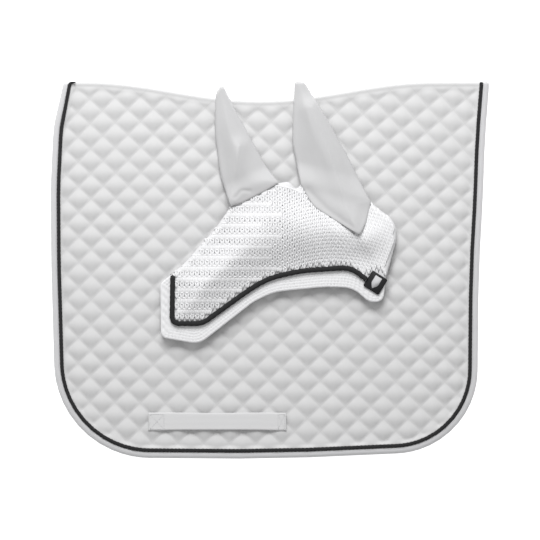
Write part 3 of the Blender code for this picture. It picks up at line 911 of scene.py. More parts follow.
@dataclass
class SaddlePad:
    """The folded pad: two quilted flaps with binding, piping and girth strap, and the fold."""

    finishes: dict[str, bpy.types.Material]
    binding_width: float = 0.0095
    pucker: float = 0.14
    pucker_sizes: tuple[float, float] = (0.0049, 0.0173)
    cord_step: float = 0.0013
    piping_start: float = 0.45
    piping_ease: float = 0.012
    spine_seam: float = 0.0080
    seam_depth: float = 0.0008
    seam_width: float = 0.0009
    seam_level: float = 0.62
    band_level: float = 0.70
    band_ease: float = 0.0040
    quilting_ease: float = 0.0110
    plain_rim: float = 0.0150
    rim_ease: float = 0.0045
    unevenness: float = 0.12
    sag: float = 0.0006
    roll: float = 0.0055
    rim_roll: float = 0.0050
    strap_front: float = 0.147
    strap_low: float = 0.0425
    strap_length: float = 0.207
    strap_width: float = 0.027
    strap_bow: float = 0.0020
    strap_thickness: float = 0.0010
    strap_edge: float = 0.10
    strap_wave: float = 0.00030
    strap_bulge: float = 0.0013
    strap_seam_margin: float = 0.0025
    strap_rises: tuple[float, float] = (0.045, 0.040)
    strap_sewn_at: float = 0.00128
    strap_cells: tuple[int, int] = (92, 16)
    seam_inset: float = 0.0021
    seam_levels: tuple[float, float] = (0.02648, 0.0005)
    seam_flatness: float = 0.6
    tape_step: float = 0.0030
    hook: tuple[Corner, ...] = ((-0.2915, 0.2812, 0.0), (-0.3000, 0.2808, 0.0060))
    hook_below: float = 0.262
    strap_seams: tuple[float, float] = (0.026, 0.015)

    def outer_face(self, spots: Values) -> Values:
        """Heights of the quilted outer face at plan places."""
        x, y = spots.T
        rim = distances(spots, SHAPE.rim())
        spine = distances(spots, SHAPE.spine(-SHAPE.length / 2, SHAPE.length / 2))
        full = smooth_step((rim - self.plain_rim) / self.rim_ease)
        deep = (LEVELS.pad_top - LEVELS.valley) * (1 + self.unevenness * ripple(x, y, 0.045, 1.0))
        quilted = smooth_step((spine - self.spine_seam) / self.quilting_ease)
        band = smooth_step((self.spine_seam - spine) / self.band_ease)
        beside = self.seam_level + (self.band_level - self.seam_level) * band
        puffed = beside + (QUILTING.puff(x, y) - beside) * quilted
        height = LEVELS.pad_top - 0.0002 - deep * full * (1 - puffed)
        height -= self.sag * full * (0.5 + 0.5 * ripple(x, y, 0.060, 2.0))
        height -= self.seam_depth * np.exp(-(((spine - self.spine_seam) / self.seam_width) ** 2))
        low = LEVELS.wadding_base + 0.0001
        for away, bend in ((spine, self.roll), (rim - 0.0012, self.rim_roll)):
            share = np.clip(away / bend, 0.0, 1.0)
            height = low + (height - low) * np.sqrt(np.maximum(1 - (1 - share) ** 3, 0.0))
        return height

    @staticmethod
    def lining_face(spots: Values) -> Values:
        """Heights of the lining's face on the horse's side."""
        return LEVELS.lining_base + 0.0005 * (1 - QUILTING.puff(*spots.T))

    def build(self) -> None:
        """Builds both flaps and the fold between them."""
        for side in Side:
            self.build_flap(side)
        self.build_fold()

    def build_flap(self, side: Side) -> None:
        """Builds the layers and trimmings of one flap."""
        name = side.value
        body = f"{name}_flap"
        flip = side is Side.FAR
        panel = QuiltedLayer(f"{name}_quilted_panel", 12 if side is Side.NEAR else 6).build(
            self.outer_face, LEVELS.wadding_base, flip, self.finishes["quilt"]
        )
        settle(panel, body, "quilted_cotton", f"{name}_outer_cover", f"{name}_wadding")
        lining = QuiltedLayer(f"{name}_lining_sheet", 4).build(
            self.lining_face, LEVELS.lining_top, flip, self.finishes["lining"]
        )
        settle(lining, body, "lining_cotton", f"{name}_lining")
        settle(self.binding(side), body, "binding_tape", f"{name}_edge_binding")
        settle(self.piping(side), body, "black_piping", f"{name}_piping_cord")
        settle(self.strap(side), body, "webbing", f"{name}_girth_strap")
        settle(self.sewing(side), body, "binding_tape")

    def binding(self, side: Side) -> Piece:
        """The folded tape around a flap's front, bottom and rear edges."""
        near = (
            (9.5, 25.3), (9.3, 26.0), (8.4, 26.4), (6.2, 26.5), (4.0, 26.3), (2.2, 25.5),
            (0.9, 24.0), (0.1, 21.8), (0.0, 19.6), (0.2, 17.4), (0.9, 15.6), (2.2, 14.3),
            (4.2, 13.7), (9.4, 13.7), (9.4, 14.7), (4.6, 14.7), (2.7, 15.3), (1.7, 17.0),
            (1.4, 19.6), (1.7, 22.6), (2.8, 24.5), (4.6, 25.2),
        )
        built = bmesh.new()

        def section(run: float) -> Section:
            """The tape's section, its upper face puckered along the near rim."""
            if side is Side.FAR:
                return [(across * MM, max(LEVELS.flipped(0.0) / MM - up, 0.02) * MM) for across, up in near]
            short, long = self.pucker_sizes
            lift = self.pucker * math.sin(run / short) * math.sin(run / long + 1.0)
            return [(across * MM, (up + (lift if up > 25.25 and across > 2.0 else 0.0)) * MM)
                    for across, up in near]

        sweep(built, even_path(SHAPE.rim(), self.tape_step), section)
        made = finished(f"{side.value}_binding_tape", built, self.finishes["tape"])
        return made

    def piping(self, side: Side) -> Piece:
        """The black cord sewn in beside the binding."""
        centre = self.binding_width + 0.0003 + PIPING.width / 2
        low, high = (0.0251, 0.0286) if side is Side.NEAR else (0.0001, 0.0014)
        built = bmesh.new()

        def section(run: float) -> Section:
            """The piping's section, thinner where the near piping starts."""
            taper = 1.0
            if side is Side.NEAR:
                eased = float(smooth_step(run / self.piping_ease))
                taper = self.piping_start + (1 - self.piping_start) * eased
            return PIPING.section(run, centre, (low + high) / 2, high - low, taper)

        path = SHAPE.rim()
        if side is Side.NEAR:
            path = self.hooked(path, centre)
            centre = 0.0
        sweep(built, even_path(path, self.cord_step), section)
        return finished(f"{side.value}_piping", built, self.finishes["piping"])

    def hooked(self, rim: Plan, inward: float) -> Plan:
        """The piping's own line, whose front end turns in under the fold."""
        line = [p for p in offset_path(rim, inward) if p.x > 0 or p.y < self.hook_below]
        return rounded_path((*self.hook, (line[0].x, line[0].y, 0.0)))[:-1] + line

    def strap_height(self, x: float) -> float:
        """Height of the near strap's underside along its length."""
        front = -SHAPE.length / 2 + self.strap_front
        ahead = x - front - self.strap_seams[0]
        behind = front + self.strap_length - self.strap_seams[1] - x
        rise = smooth_step(ahead / self.strap_rises[0]) * smooth_step(behind / self.strap_rises[1])
        return LEVELS.pad_top - 0.0001 + self.strap_bow * float(rise)

    def strap(self, side: Side) -> Piece:
        """The webbing loop that the girth passes through."""
        front = -SHAPE.length / 2 + self.strap_front
        low = -SHAPE.drop / 2 + self.strap_low
        built = bmesh.new()
        along, across = self.strap_cells
        bmesh.ops.create_grid(built, x_segments=along, y_segments=across, size=0.5)
        for vert in built.verts:
            edge = max(0.0, abs(2 * vert.co.y) - (1 - self.strap_edge)) / self.strap_edge
            x = front + (vert.co.x + 0.5) * self.strap_length
            y = low + (vert.co.y + 0.5) * self.strap_width
            y += self.strap_wave * math.sin((x - front) / 0.021)
            middle = math.sin(math.pi * min(max((x - front) / self.strap_length, 0.0), 1.0))
            y += self.strap_bulge * middle * middle * (0.5 - vert.co.y)
            height = self.strap_height(x) if side is Side.NEAR else 0.0001
            vert.co = (x, y, height + self.strap_thickness - 0.0005 * edge * edge)
        thicken(built, self.strap_thickness - 0.0002)
        made = finished(f"{side.value}_strap", built, self.finishes["webbing"])
        if side is Side.FAR:
            level = min(v.co.z for v in made.data.vertices)
            for vert in made.data.vertices:
                vert.co.z += 0.0001 - level
        return made

    def sewing(self, side: Side) -> Piece:
        """Thread of the binding's seam and, on the near side, of the strap's ends."""
        built = bmesh.new()
        seam = offset_path(SHAPE.rim(), self.binding_width - self.seam_inset)
        level = self.seam_levels[side is Side.FAR]
        stitch_row(built, seam, lambda _: level, RIM_SEAM)
        if side is Side.FAR:
            for vert in built.verts:
                vert.co.z = level - self.seam_flatness * (vert.co.z - level)
        else:
            self.sew_strap(built)
        return finished(f"{side.value}_seam_thread", built, self.finishes["thread"])

    def sew_strap(self, built: Mesh) -> None:
        """Sews the strap's two ends, each with a crossed box."""
        front = -SHAPE.length / 2 + self.strap_front
        low = -SHAPE.drop / 2 + self.strap_low
        rear = front + self.strap_length

        def on_strap(spot: Vector) -> float:
            """Height at which the thread lies on the strap."""
            return self.strap_height(spot.x) + self.strap_sewn_at

        margin = self.strap_seam_margin
        for start, end in (
            (front + margin, front + self.strap_seams[0] - margin),
            (rear - self.strap_seams[1] + margin, rear - margin),
        ):
            bottom, top = low + margin, low + self.strap_width - margin
            corners = ((start, bottom), (end, bottom), (end, top), (start, top), (start, bottom))
            crossing = ((start, bottom), (end, top)), ((start, top), (end, bottom))
            for a, b in (*zip(corners, corners[1:]), *crossing):
                stitch_row(built, [Vector(a), Vector(b)], on_strap, BOX_SEAM)

    def build_fold(self) -> None:
        """Builds the tape in the fold, which closes the seam."""
        reach = SHAPE.length / 2 - 0.030
        section = (
            (-20.0, 14.6), (-1.0, 14.6), (-0.05, 14.2), (-0.05, 12.4), (-1.0, 12.0), (-20.0, 12.0),
            (-20.0, 13.1), (-1.6, 13.1), (-1.6, 13.5), (-20.0, 13.5),
        )
        built = bmesh.new()
        sweep(built, SHAPE.spine(-reach, reach, 90), lambda _: [(d * MM, z * MM) for d, z in section])
        made = finished("spine_fold_tape", built, self.finishes["tape"])
        settle(made, None, "binding_tape", "spine_tape")
        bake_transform(made)


# ---------------------------------------------------------------- the ear bonnet


@dataclass(frozen=True)
class BonnetShape:
    """Plan of the folded bonnet: corners as x, y and radius."""

    forehead: tuple[Corner, ...] = (
        (-0.1250, 0.0130, 0.100), (-0.1030, 0.0390, 0.200), (-0.0820, 0.0610, 0.100),
    )
    far_ear_front: Corner = (-0.0590, 0.0950, 0.0)
    far_ear_back: Corner = (0.0130, 0.1300, 0.0)
    poll: tuple[Corner, ...] = ((0.0300, 0.1330, 0.012), (0.0385, 0.1200, 0.004))
    near_ear_front: Corner = (0.0460, 0.1280, 0.0)
    near_ear_back: Corner = (0.1505, 0.1010, 0.0)
    nape: tuple[Corner, ...] = ((0.1880, 0.0720, 0.030), (0.1890, 0.0450, 0.060))
    nape_end: Corner = (0.1730, -0.0140, 0.0)
    trim: tuple[Corner, ...] = (
        (0.1440, -0.0140, 0.010), (0.1200, 0.0040, 0.030), (0.0500, -0.0010, 0.120),
        (-0.0050, -0.0120, 0.200), (-0.0500, -0.0430, 0.200), (-0.1010, -0.0800, 0.030),
        (-0.1465, -0.0800, 0.010), (-0.1465, -0.0060, 0.0),
    )
    band_edge: tuple[Corner, ...] = (
        (-0.1640, -0.0200, 0.012), (-0.1630, -0.1010, 0.010), (-0.1060, -0.1110, 0.030),
        (-0.0250, -0.0480, 0.060), (0.0050, -0.0330, 0.080), (0.0850, -0.0250, 0.200),
        (0.1240, -0.0270, 0.040), (0.1480, -0.0480, 0.020), (0.1690, -0.0480, 0.012),
    )
    badge: tuple[float, float] = (0.1575, -0.0190)

    def folds(self) -> list[Plan]:
        """The three folded stretches of the hood's outline."""
        return [
            rounded_path((self.trim[-1],) + self.forehead + (self.far_ear_front,)),
            rounded_path((self.far_ear_back,) + self.poll + (self.near_ear_front,)),
            rounded_path((self.near_ear_back,) + self.nape + (self.nape_end,)),
        ]

    def open_edge(self) -> Plan:
        """The join of hood and border, from the nape round to the nose."""
        return rounded_path((self.nape_end,) + self.trim)

    def hood(self) -> Plan:
        """Closed outline of the hood."""
        one, two, three = self.folds()
        return one + two + three + self.open_edge()[1:-1]

    def border(self) -> Plan:
        """Outer edge of the border, from the nose round to the nape."""
        return rounded_path((self.trim[-1],) + self.band_edge + (self.nape_end,))


BONNET = BonnetShape()


@dataclass(frozen=True)
class Crochet:
    """Layout of the hood's stitches: level rows in front, sagging ever more towards the nape."""

    row: float = 0.0080
    stitch: float = 0.0075
    top: float = 0.1420
    level_until: float = 0.003
    sag_radius: float = 0.090
    reach: tuple[float, float] = (-0.20, 0.22)
    rows: tuple[int, int] = (-20, 34)
    stitches: tuple[int, int] = (-24, 46)

    def sag(self, x: Values) -> Values:
        """How far a row has dropped at a place along the back."""
        past = np.maximum(x - self.level_until, 0.0)
        return past * past / (2 * self.sag_radius)

    def along(self, x: Values) -> Values:
        """Run along a row, in stitches."""
        slope = np.maximum(x - self.level_until, 0.0) / self.sag_radius
        curved = 0.5 * self.sag_radius * (slope * np.sqrt(1 + slope * slope) + np.arcsinh(slope))
        return (np.minimum(x, self.level_until) + curved) / self.stitch

    def place(self, along: Values, row: Values) -> tuple[Values, Values]:
        """Plan places of stitch and row counts."""
        x_table = np.linspace(*self.reach, 1200)
        x = np.interp(along, self.along(x_table), x_table)
        return x, self.top - self.row * row - self.sag(x)

    def counts(self, x: Values, y: Values) -> tuple[Values, Values]:
        """Stitch and row counts of plan places."""
        return self.along(x), (self.top - y - self.sag(x)) / self.row


CROCHET = Crochet()


@dataclass(frozen=True)
class EarShape:
    """Plan of an ear: corners as x, y and radius, and creases as corners, height and width.

    The sides run from front to back beyond the hinge line, the base from back to front on the hood.
    """

    name: str
    front: Corner
    back: Corner
    side_corners: tuple[Corner, ...]
    base_corners: tuple[Corner, ...]
    creases: tuple[tuple[tuple[Corner, ...], float, float], ...]
    flat: tuple[float, float]
    cut_share: float = 0.52

    def sides(self) -> Plan:
        """Outline of the part beyond the hinge line."""
        return rounded_path((self.front,) + self.side_corners + (self.back,))

    def base(self) -> Plan:
        """Outline of the part that lies on the hood."""
        return rounded_path((self.back,) + self.base_corners + (self.front,))

    def into(self) -> Vector:
        """Plan direction from the hinge line into the ear."""
        along = (Vector(self.back[:2]) - Vector(self.front[:2])).normalized()
        return Vector((-along.y, along.x))

    def area(self) -> float:
        """Area of a panel as cut."""
        wide, long = self.flat
        return self.cut_share * wide * long


FAR_SEAM = ((-0.0590, 0.1050, 0.0), (-0.0520, 0.1450, 0.10), (-0.0460, 0.1850, 0.0))
FAR_EAR = EarShape(
    name="far_ear",
    front=BONNET.far_ear_front,
    back=BONNET.far_ear_back,
    side_corners=((-0.0745, 0.1400, 0.090), (-0.0830, 0.2100, 0.200), (-0.0815, 0.2660, 0.020),
                  (-0.0715, 0.2795, 0.004), (-0.0480, 0.2320, 0.200), (-0.0060, 0.1560, 0.100)),
    base_corners=((-0.0070, 0.1180, 0.030), (-0.0420, 0.1000, 0.020)),
    creases=(
        (FAR_SEAM, 0.0011, 0.0017),
        (FAR_SEAM, 0.0040, 0.0120),
        (((-0.0520, 0.1080, 0.0), (-0.0420, 0.1190, 0.006), (-0.0300, 0.1180, 0.0)), -0.0016, 0.0024),
    ),
    flat=(0.090, 0.185),
)
NEAR_SEAM = ((0.0620, 0.2430, 0.0), (0.0900, 0.1720, 0.20), (0.1130, 0.0950, 0.10), (0.1270, 0.0600, 0.0))
NEAR_EAR = EarShape(
    name="near_ear",
    front=BONNET.near_ear_front,
    back=BONNET.near_ear_back,
    side_corners=((0.0330, 0.1900, 0.100), (0.0365, 0.2825, 0.004), (0.0510, 0.2825, 0.006),
                  (0.0820, 0.2330, 0.300), (0.1220, 0.1600, 0.200)),
    base_corners=((0.1430, 0.0700, 0.040), (0.1330, 0.0510, 0.004), (0.0640, 0.0950, 0.040)),
    creases=(
        (NEAR_SEAM, 0.0013, 0.0017),
        (NEAR_SEAM, 0.0060, 0.0150),
        (((0.0560, 0.1200, 0.0), (0.0850, 0.0900, 0.06), (0.1270, 0.0600, 0.0)), -0.0014, 0.0040),
    ),
    flat=(0.115, 0.240),
)


@dataclass
class EarBonnet:
    """The crocheted hood with its border, trim, badge and the two ears."""

    finishes: dict[str, bpy.types.Material]
    crown: float = 0.017
    shoulder: float = 0.062
    badge_clear: float = 0.026
    badge_ease: float = 0.040
    smoothings: int = 14
    fold_bend: float = 0.0060
    fold_level: float = 0.0328
    underside: float = 0.0276
    knit: float = 0.0012
    relief_height: float = 0.0005
    hole_width: float = 0.11
    hole_heights: tuple[float, float] = (0.16, 0.10)
    dense_front: float = 0.012
    hole_rim: float = 0.0075
    hole_fold: float = 0.0130
    hole_share: float = -0.35
    yarn_rim: float = 0.0042
    yarn_badge: float = 0.0200
    above: float = 0.1
    bare_level: float = 0.0372
    lowest_top: float = 0.033
    yarn_radius: float = 0.00178
    band_rib: float = 0.0042
    band_knot: float = 0.0048
    band_top: float = 0.0376
    band_base: float = 0.0354
    band_bend: float = 0.0032
    trim_step: float = 0.0013
    trim_tuck: float = 0.0060
    trim_end_level: float = 0.0320
    badge_size: float = 0.0270
    badge_slant: float = math.radians(-32)
    surface: Optional[BVHTree] = None
    form: Optional[BVHTree] = None

    def build(self) -> None:
        """Builds every piece of the bonnet."""
        self.hood()
        self.stitches()
        for side in Side:
            self.border(side)
            self.trim(side)
        self.badge()
        for shape in (NEAR_EAR, FAR_EAR):
            Ear(shape, self.finishes["lycra"], self).build()

    # ---- the hood

    def hood(self) -> None:
        """The hood's ground: one crocheted sheet folded at forehead, poll and nape."""
        outline = BONNET.hood()
        built = trimmed_grid(CROCHET.place, outline, (-24.125, -20.0), (45.875, 34.0), (4, 6))
        spots = plan_places(built)
        x, y = spots.T
        edge = distances(spots, outline, closed=True)
        fold = np.minimum.reduce([distances(spots, line) for line in BONNET.folds()])
        badge = np.hypot(x - BONNET.badge[0], y - BONNET.badge[1])
        rise = self.crown * smooth_step(edge / self.shoulder)
        set_heights(built, rise * smooth_step((badge - self.badge_clear) / self.badge_ease))
        for _ in range(self.smoothings):
            bmesh.ops.smooth_vert(built, verts=built.verts, factor=0.5, use_axis_z=True)
        self.form = BVHTree.FromBMesh(built)
        near_verts = list(built.verts)
        doubled = bmesh.ops.duplicate(built, geom=list(built.faces))
        pairs = {v: doubled["vert_map"][v] for v in near_verts}
        bent = rounded(fold / self.fold_bend)
        relief = self.relief(x, y) * smooth_step((edge - 0.002) / 0.004)
        for vert, turn, bump in zip(near_verts, bent, relief):
            top = LEVELS.near_knit - 0.0006 + vert.co.z + bump
            vert.co.z = self.fold_level + 0.0002 + (top - self.fold_level) * turn
            pairs[vert].co.z = self.fold_level - 0.0002 - (self.fold_level - self.underside) * turn
        on_fold = {v for v, gap in zip(near_verts, fold) if gap < 0.0001}
        rim = [e for e in built.edges if e.is_boundary and all(v in on_fold for v in e.verts)]
        for join in rim:
            a, b = join.verts
            built.faces.new((a, b, pairs[b], pairs[a]))
        self.open_holes(built)
        self.surface = BVHTree.FromBMesh(built)
        thicken(built, self.knit)
        made = finished("hood_ground", built, self.finishes["knit"])
        settle(made, "bonnet", "crochet_cotton", "crochet_hood")

    def relief(self, x: Values, y: Values) -> Values:
        """Relief of the stitches' posts and of the chains between the rows."""
        along, row = CROCHET.counts(x, y)
        parity = np.floor(row) % 2
        post = np.cos(math.pi * (along + 0.5 * parity - 0.5)) ** 2
        chain = np.cos(math.pi * row) ** 2
        return self.relief_height * np.maximum(0.8 * post * (1 - chain), 0.6 * chain)

    def open_holes(self, built: Mesh) -> None:
        """Opens the gaps between the stitches, wide in every second row."""
        centres = np.array([f.calc_center_median()[:2] for f in built.faces])
        along, row = CROCHET.counts(centres[:, 0], centres[:, 1])
        parity = np.floor(row) % 2
        off = np.abs((along + 0.5 * parity + 0.5) % 1 - 0.5)
        wide, low = self.hole_heights
        tall = np.where(parity > 0, np.where(centres[:, 0] > self.dense_front, low, 0.0), wide)
        gap = (off < self.hole_width) & (np.abs(row % 1 - 0.5) < tall)
        gap &= distances(centres, BONNET.hood(), closed=True) > self.hole_rim
        gap &= distances(centres, BONNET.folds()[0]) > self.hole_fold
        gap &= np.sin(12.9 * np.floor(along) + 4.1 * np.floor(row)) > self.hole_share
        gone = [f for f, is_gap in zip(built.faces, gap) if is_gap]
        bmesh.ops.delete(built, geom=gone, context="FACES")

    def height_at(self, x: float, y: float) -> float:
        """Height of the hood's upper side at a plan place."""
        found = self.surface.ray_cast(Vector((x, y, self.above)), Vector((0, 0, -1)))[0]
        return found.z if found and found.z > self.lowest_top else self.bare_level

    def form_at(self, x: float, y: float) -> float:
        """Height of the hood's smooth form, without its stitches, at a plan place."""
        found = self.form.ray_cast(Vector((x, y, self.above)), Vector((0, 0, -1)))[0]
        return LEVELS.near_knit - 0.0002 + (found.z if found else 0.0)

    def stitches(self) -> None:
        """Yarn of the hood's upper side: a V for each stitch and a chain above it."""
        built = bmesh.new()
        rows, stitches = np.meshgrid(np.arange(*CROCHET.rows), np.arange(*CROCHET.stitches), indexing="ij")
        rows, stitches = rows.ravel(), stitches.ravel()
        shift = 0.5 * (rows % 2)
        x, y = CROCHET.place(stitches + 0.5 - shift, rows + 0.5)
        spots = np.column_stack((x, y))
        kept = inside(spots, BONNET.hood()) & ~inside(spots, NEAR_EAR.base())
        kept &= distances(spots, BONNET.hood(), closed=True) > self.yarn_rim
        kept &= np.hypot(x - BONNET.badge[0], y - BONNET.badge[1]) > self.yarn_badge
        for row, stitch, move in zip(rows[kept], stitches[kept], shift[kept]):
            self.stitch(built, float(row), float(stitch - move))
        settle(finished("hood_stitches", built, self.finishes["yarn"]), "bonnet", "crochet_cotton")

    def stitch(self, built: Mesh, row: float, start: float) -> None:
        """Adds one stitch: two slanting strands and the chain over them."""
        wobble = 0.07 * math.sin(12.9 * row + 7.3 * start)
        lean = 0.05 * math.sin(5.1 * row - 9.7 * start)
        radius = self.yarn_radius * (1 + 0.08 * math.sin(3.7 * row + 5.9 * start))
        strands = (
            ((0.42, 1.12, 0.3), (0.31 + lean, 0.76, 0.5), (0.22, 0.38, 0.5), (0.17, -0.04, 0.3)),
            ((0.58, 1.12, 0.3), (0.69 + lean, 0.76, 0.5), (0.78, 0.38, 0.5), (0.83, -0.04, 0.3)),
            ((-0.12, 0.08, 0.0), (0.26, 0.00 + wobble, 0.3), (0.74, 0.04 - wobble, 0.3), (1.12, 0.10, 0.0)),
        )
        dense_until = CROCHET.level_until + 0.016 * math.sin(1.9 * row)
        if row % 2 and CROCHET.place(start, row)[0] < dense_until:
            strands += (
                ((0.50, 0.90, 0.2), (0.50 + wobble, 0.60, 0.3), (0.50, 0.30, 0.3), (0.50, 0.00, 0.2)),
                ((0.00, 1.06, 0.2), (0.00, 0.78, 0.3), (0.00 - wobble, 0.48, 0.3), (0.00, 0.20, 0.2)),
            )
        for strand in strands:
            points = []
            for across, down, lift in strand:
                x, y = map(float, CROCHET.place(start + across, row + down))
                points.append(Vector((x, y, self.height_at(x, y) + lift * MM)))
            add_strand(built, points, radius)

    # ---- border, trim and badge

    def border(self, side: Side) -> None:
        """The dense crocheted border along the open edge."""
        edge = BONNET.border()
        outline = offset_path(BONNET.open_edge(), 0.0003) + edge[1:-1]
        built = square_grid(outline, 780)
        spots = plan_places(built)
        x, y = spots.T
        out = distances(spots, edge)
        rib = out / self.band_rib
        knots = 0.5 + 0.5 * np.sin(math.tau * (x + 0.4 * y) / self.band_knot + math.pi * np.floor(rib))
        height = self.band_top - 0.0008 * (1 - np.abs(np.sin(math.pi * rib))) - 0.0010 * knots
        height = self.band_base + 0.0001 + (height - self.band_base) * rounded(out / self.band_bend)
        is_near = side is Side.NEAR
        set_heights(built, height if is_near else 2 * LEVELS.bonnet_middle - height)
        close_below(built, self.band_base if is_near else 2 * LEVELS.bonnet_middle - self.band_base)
        made = finished(f"{side.value}_border", built, self.finishes["yarn"])
        settle(made, "bonnet", "crochet_cotton", f"{side.value}_edge_band")

    def trim(self, side: Side) -> None:
        """The black cord on the join of hood and border."""
        low, high = (0.0374, 0.0428) if side is Side.NEAR else (0.0253, 0.0269)
        built = bmesh.new()

        def section(run: float) -> Section:
            """The trim's section, which goes in between the hood's sides at its end."""
            tuck = smooth_step((run - stop + self.trim_tuck) / self.trim_tuck)
            middle = (low + high) / 2 + tuck * (self.trim_end_level - (low + high) / 2)
            return TRIM.section(run, 0.0, middle, high - low)

        corners = list(BONNET.trim)
        corners[1] = (*corners[1][:2], 0.060)
        corners[-1] = (-0.1452, -0.0060, 0.0)
        path = even_path(rounded_path(corners), self.trim_step)
        stop = self.trim_step * (len(path) - 1)
        sweep(built, path, section)
        made = finished(f"{side.value}_trim", built, self.finishes["cord"])
        settle(made, "bonnet", "black_trim", f"{side.value}_trim_cord")

    def badge(self) -> None:
        """The moulded square at the end of the trim, with a plain shield on it."""
        base = LEVELS.near_knit + 0.0001
        face = base + 0.0018
        half = self.badge_size / 2
        square = tuple((half * x, half * y, 0.0025) for x, y in ((-1, -1), (1, -1), (1, 1), (-1, 1)))
        patch = self.plate(self.turned(square), base, face, 0.0007)
        made = finished("badge_plate", patch, self.finishes["rubber"])
        settle(made, "bonnet", "badge_rubber", "badge_patch")
        wide, tall = 0.0055, 0.0100
        crest = ((0.0, -tall, 0.001), (wide, -tall * 0.25, 0.006), (wide, tall, 0.001),
                 (-wide, tall, 0.001), (-wide, -tall * 0.25, 0.006))
        shield = self.plate(self.turned(crest), face, base + 0.0027, 0.0003)
        made = finished("badge_shield", shield, self.finishes["enamel"])
        settle(made, "bonnet", "badge_enamel", "badge_emblem")

    def turned(self, corners: tuple[Corner, ...]) -> Plan:
        """Closed outline on the badge: rounded corners, turned to its slant and put in place."""
        ring = rounded_path((corners[-1],) + corners + (corners[0],))[1:-1]
        cos, sin = math.cos(self.badge_slant), math.sin(self.badge_slant)
        return [Vector(BONNET.badge) + Vector((p.x * cos - p.y * sin, p.x * sin + p.y * cos)) for p in ring]

    @staticmethod
    def plate(outline: Plan, low: float, high: float, bevel: float) -> Mesh:
        """A flat plate with its upper edge bevelled."""
        built = bmesh.new()
        top = built.faces.new([built.verts.new((p.x, p.y, high)) for p in outline])
        if top.normal.z < 0:
            top.normal_flip()
        grown = bmesh.ops.extrude_face_region(built, geom=[top], use_keep_orig=True)["geom"]
        lower = [g for g in grown if isinstance(g, bmesh.types.BMVert)]
        for vert in lower:
            vert.co.z = low
        rim = [e for e in built.edges if all(v.co.z == high for v in e.verts) and len(e.link_faces) == 2]
        upper = [e for e in rim if any(abs(f.normal.z) < 0.5 for f in e.link_faces)]
        bmesh.ops.bevel(built, geom=upper, offset=bevel, affect="EDGES", segments=2, profile=0.5,
                        material=-1)
        return built


@dataclass
class Ear:
    """A stretch-fabric ear: a full outer panel over a flat inner one."""

    shape: EarShape
    material: bpy.types.Material
    bonnet: EarBonnet
    fullness: float = 0.0085
    shoulder: float = 0.034
    climb: float = 0.034
    base_gap: float = 0.0014
    base_roll: float = 0.0018
    base_bend: float = 0.0020
    base_rise: float = 0.0040
    base_ease: float = 0.022
    pad_level: float = 0.0272
    rim_roll: float = 0.0042
    rim_bend: float = 0.0045
    hem: float = 0.0006
    hem_place: float = 0.0024
    hem_width: float = 0.0011
    wrinkle: float = 0.0006
    cloth: float = 0.0009
    hinge_gap: float = 0.0010
    inner_level: float = 0.0268
    bend_reach: float = 0.026

    def build(self) -> None:
        """Builds the outer and inner panels."""
        self.outer()
        self.inner()

    def outer(self) -> None:
        """The outer panel, which lies on the hood at its base and on the pad at its tip."""
        sides = self.shape.sides()
        closed = sides + self.shape.base()[1:-1]
        built = square_grid(closed, 620)
        spots = plan_places(built)
        beyond = (spots - np.array(self.shape.front[:2])) @ np.array(self.shape.into())
        rim = distances(spots, sides)
        edge = distances(spots, closed, closed=True)
        on_hood = np.array([self.bonnet.form_at(*spot) for spot in spots.tolist()])
        on_hood += self.base_gap + self.base_roll * rounded(edge / self.base_bend)
        on_hood += self.base_rise * smooth_step(edge / self.base_ease)
        on_pad = self.pad_level + self.rim_roll * rounded(rim / self.rim_bend)
        on_pad += self.fullness * smooth_step(rim / self.shoulder)
        on_pad += self.hem * np.exp(-(((rim - self.hem_place) / self.hem_width) ** 2))
        share = smooth_step(beyond / self.climb)
        height = on_hood * (1 - share) + on_pad * share
        for corners, lift, width in self.shape.creases:
            height += lift * np.exp(-((distances(spots, rounded_path(corners)) / width) ** 2))
        height += self.wrinkle * ripple(*spots.T, 0.018, 3.0) * smooth_step(edge / 0.01)
        set_heights(built, height)
        for _ in range(2):
            bmesh.ops.smooth_vert(built, verts=built.verts, factor=0.5, use_axis_z=True)
        thicken(built, self.cloth)
        made = self.panel("outer", built)
        settle(made, None, "ear_lycra", f"{self.shape.name}_outer")
        reach = Vector((*self.shape.into(), 0.0)) * self.bend_reach
        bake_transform(made)

    def inner(self) -> None:
        """The flat panel on the pad's side."""
        gap = self.shape.into() * self.hinge_gap
        front, *sides, back = self.shape.sides()
        built = square_grid([front + gap, *sides, back + gap], 300)
        set_heights(built, self.inner_level + 0.0002 * ripple(*plan_places(built).T, 0.022, 5.0))
        close_below(built, LEVELS.ear_base)
        settle(self.panel("inner", built), self.shape.name, "ear_lycra", f"{self.shape.name}_inner")

    def panel(self, which: str, built: Mesh) -> Piece:
        """Makes an ear panel, a sheet of cloth."""
        made = finished(f"{self.shape.name}_{which}_panel", built, self.material)
        self.shape.area()
        return made


# ---------------------------------------------------------------- studio


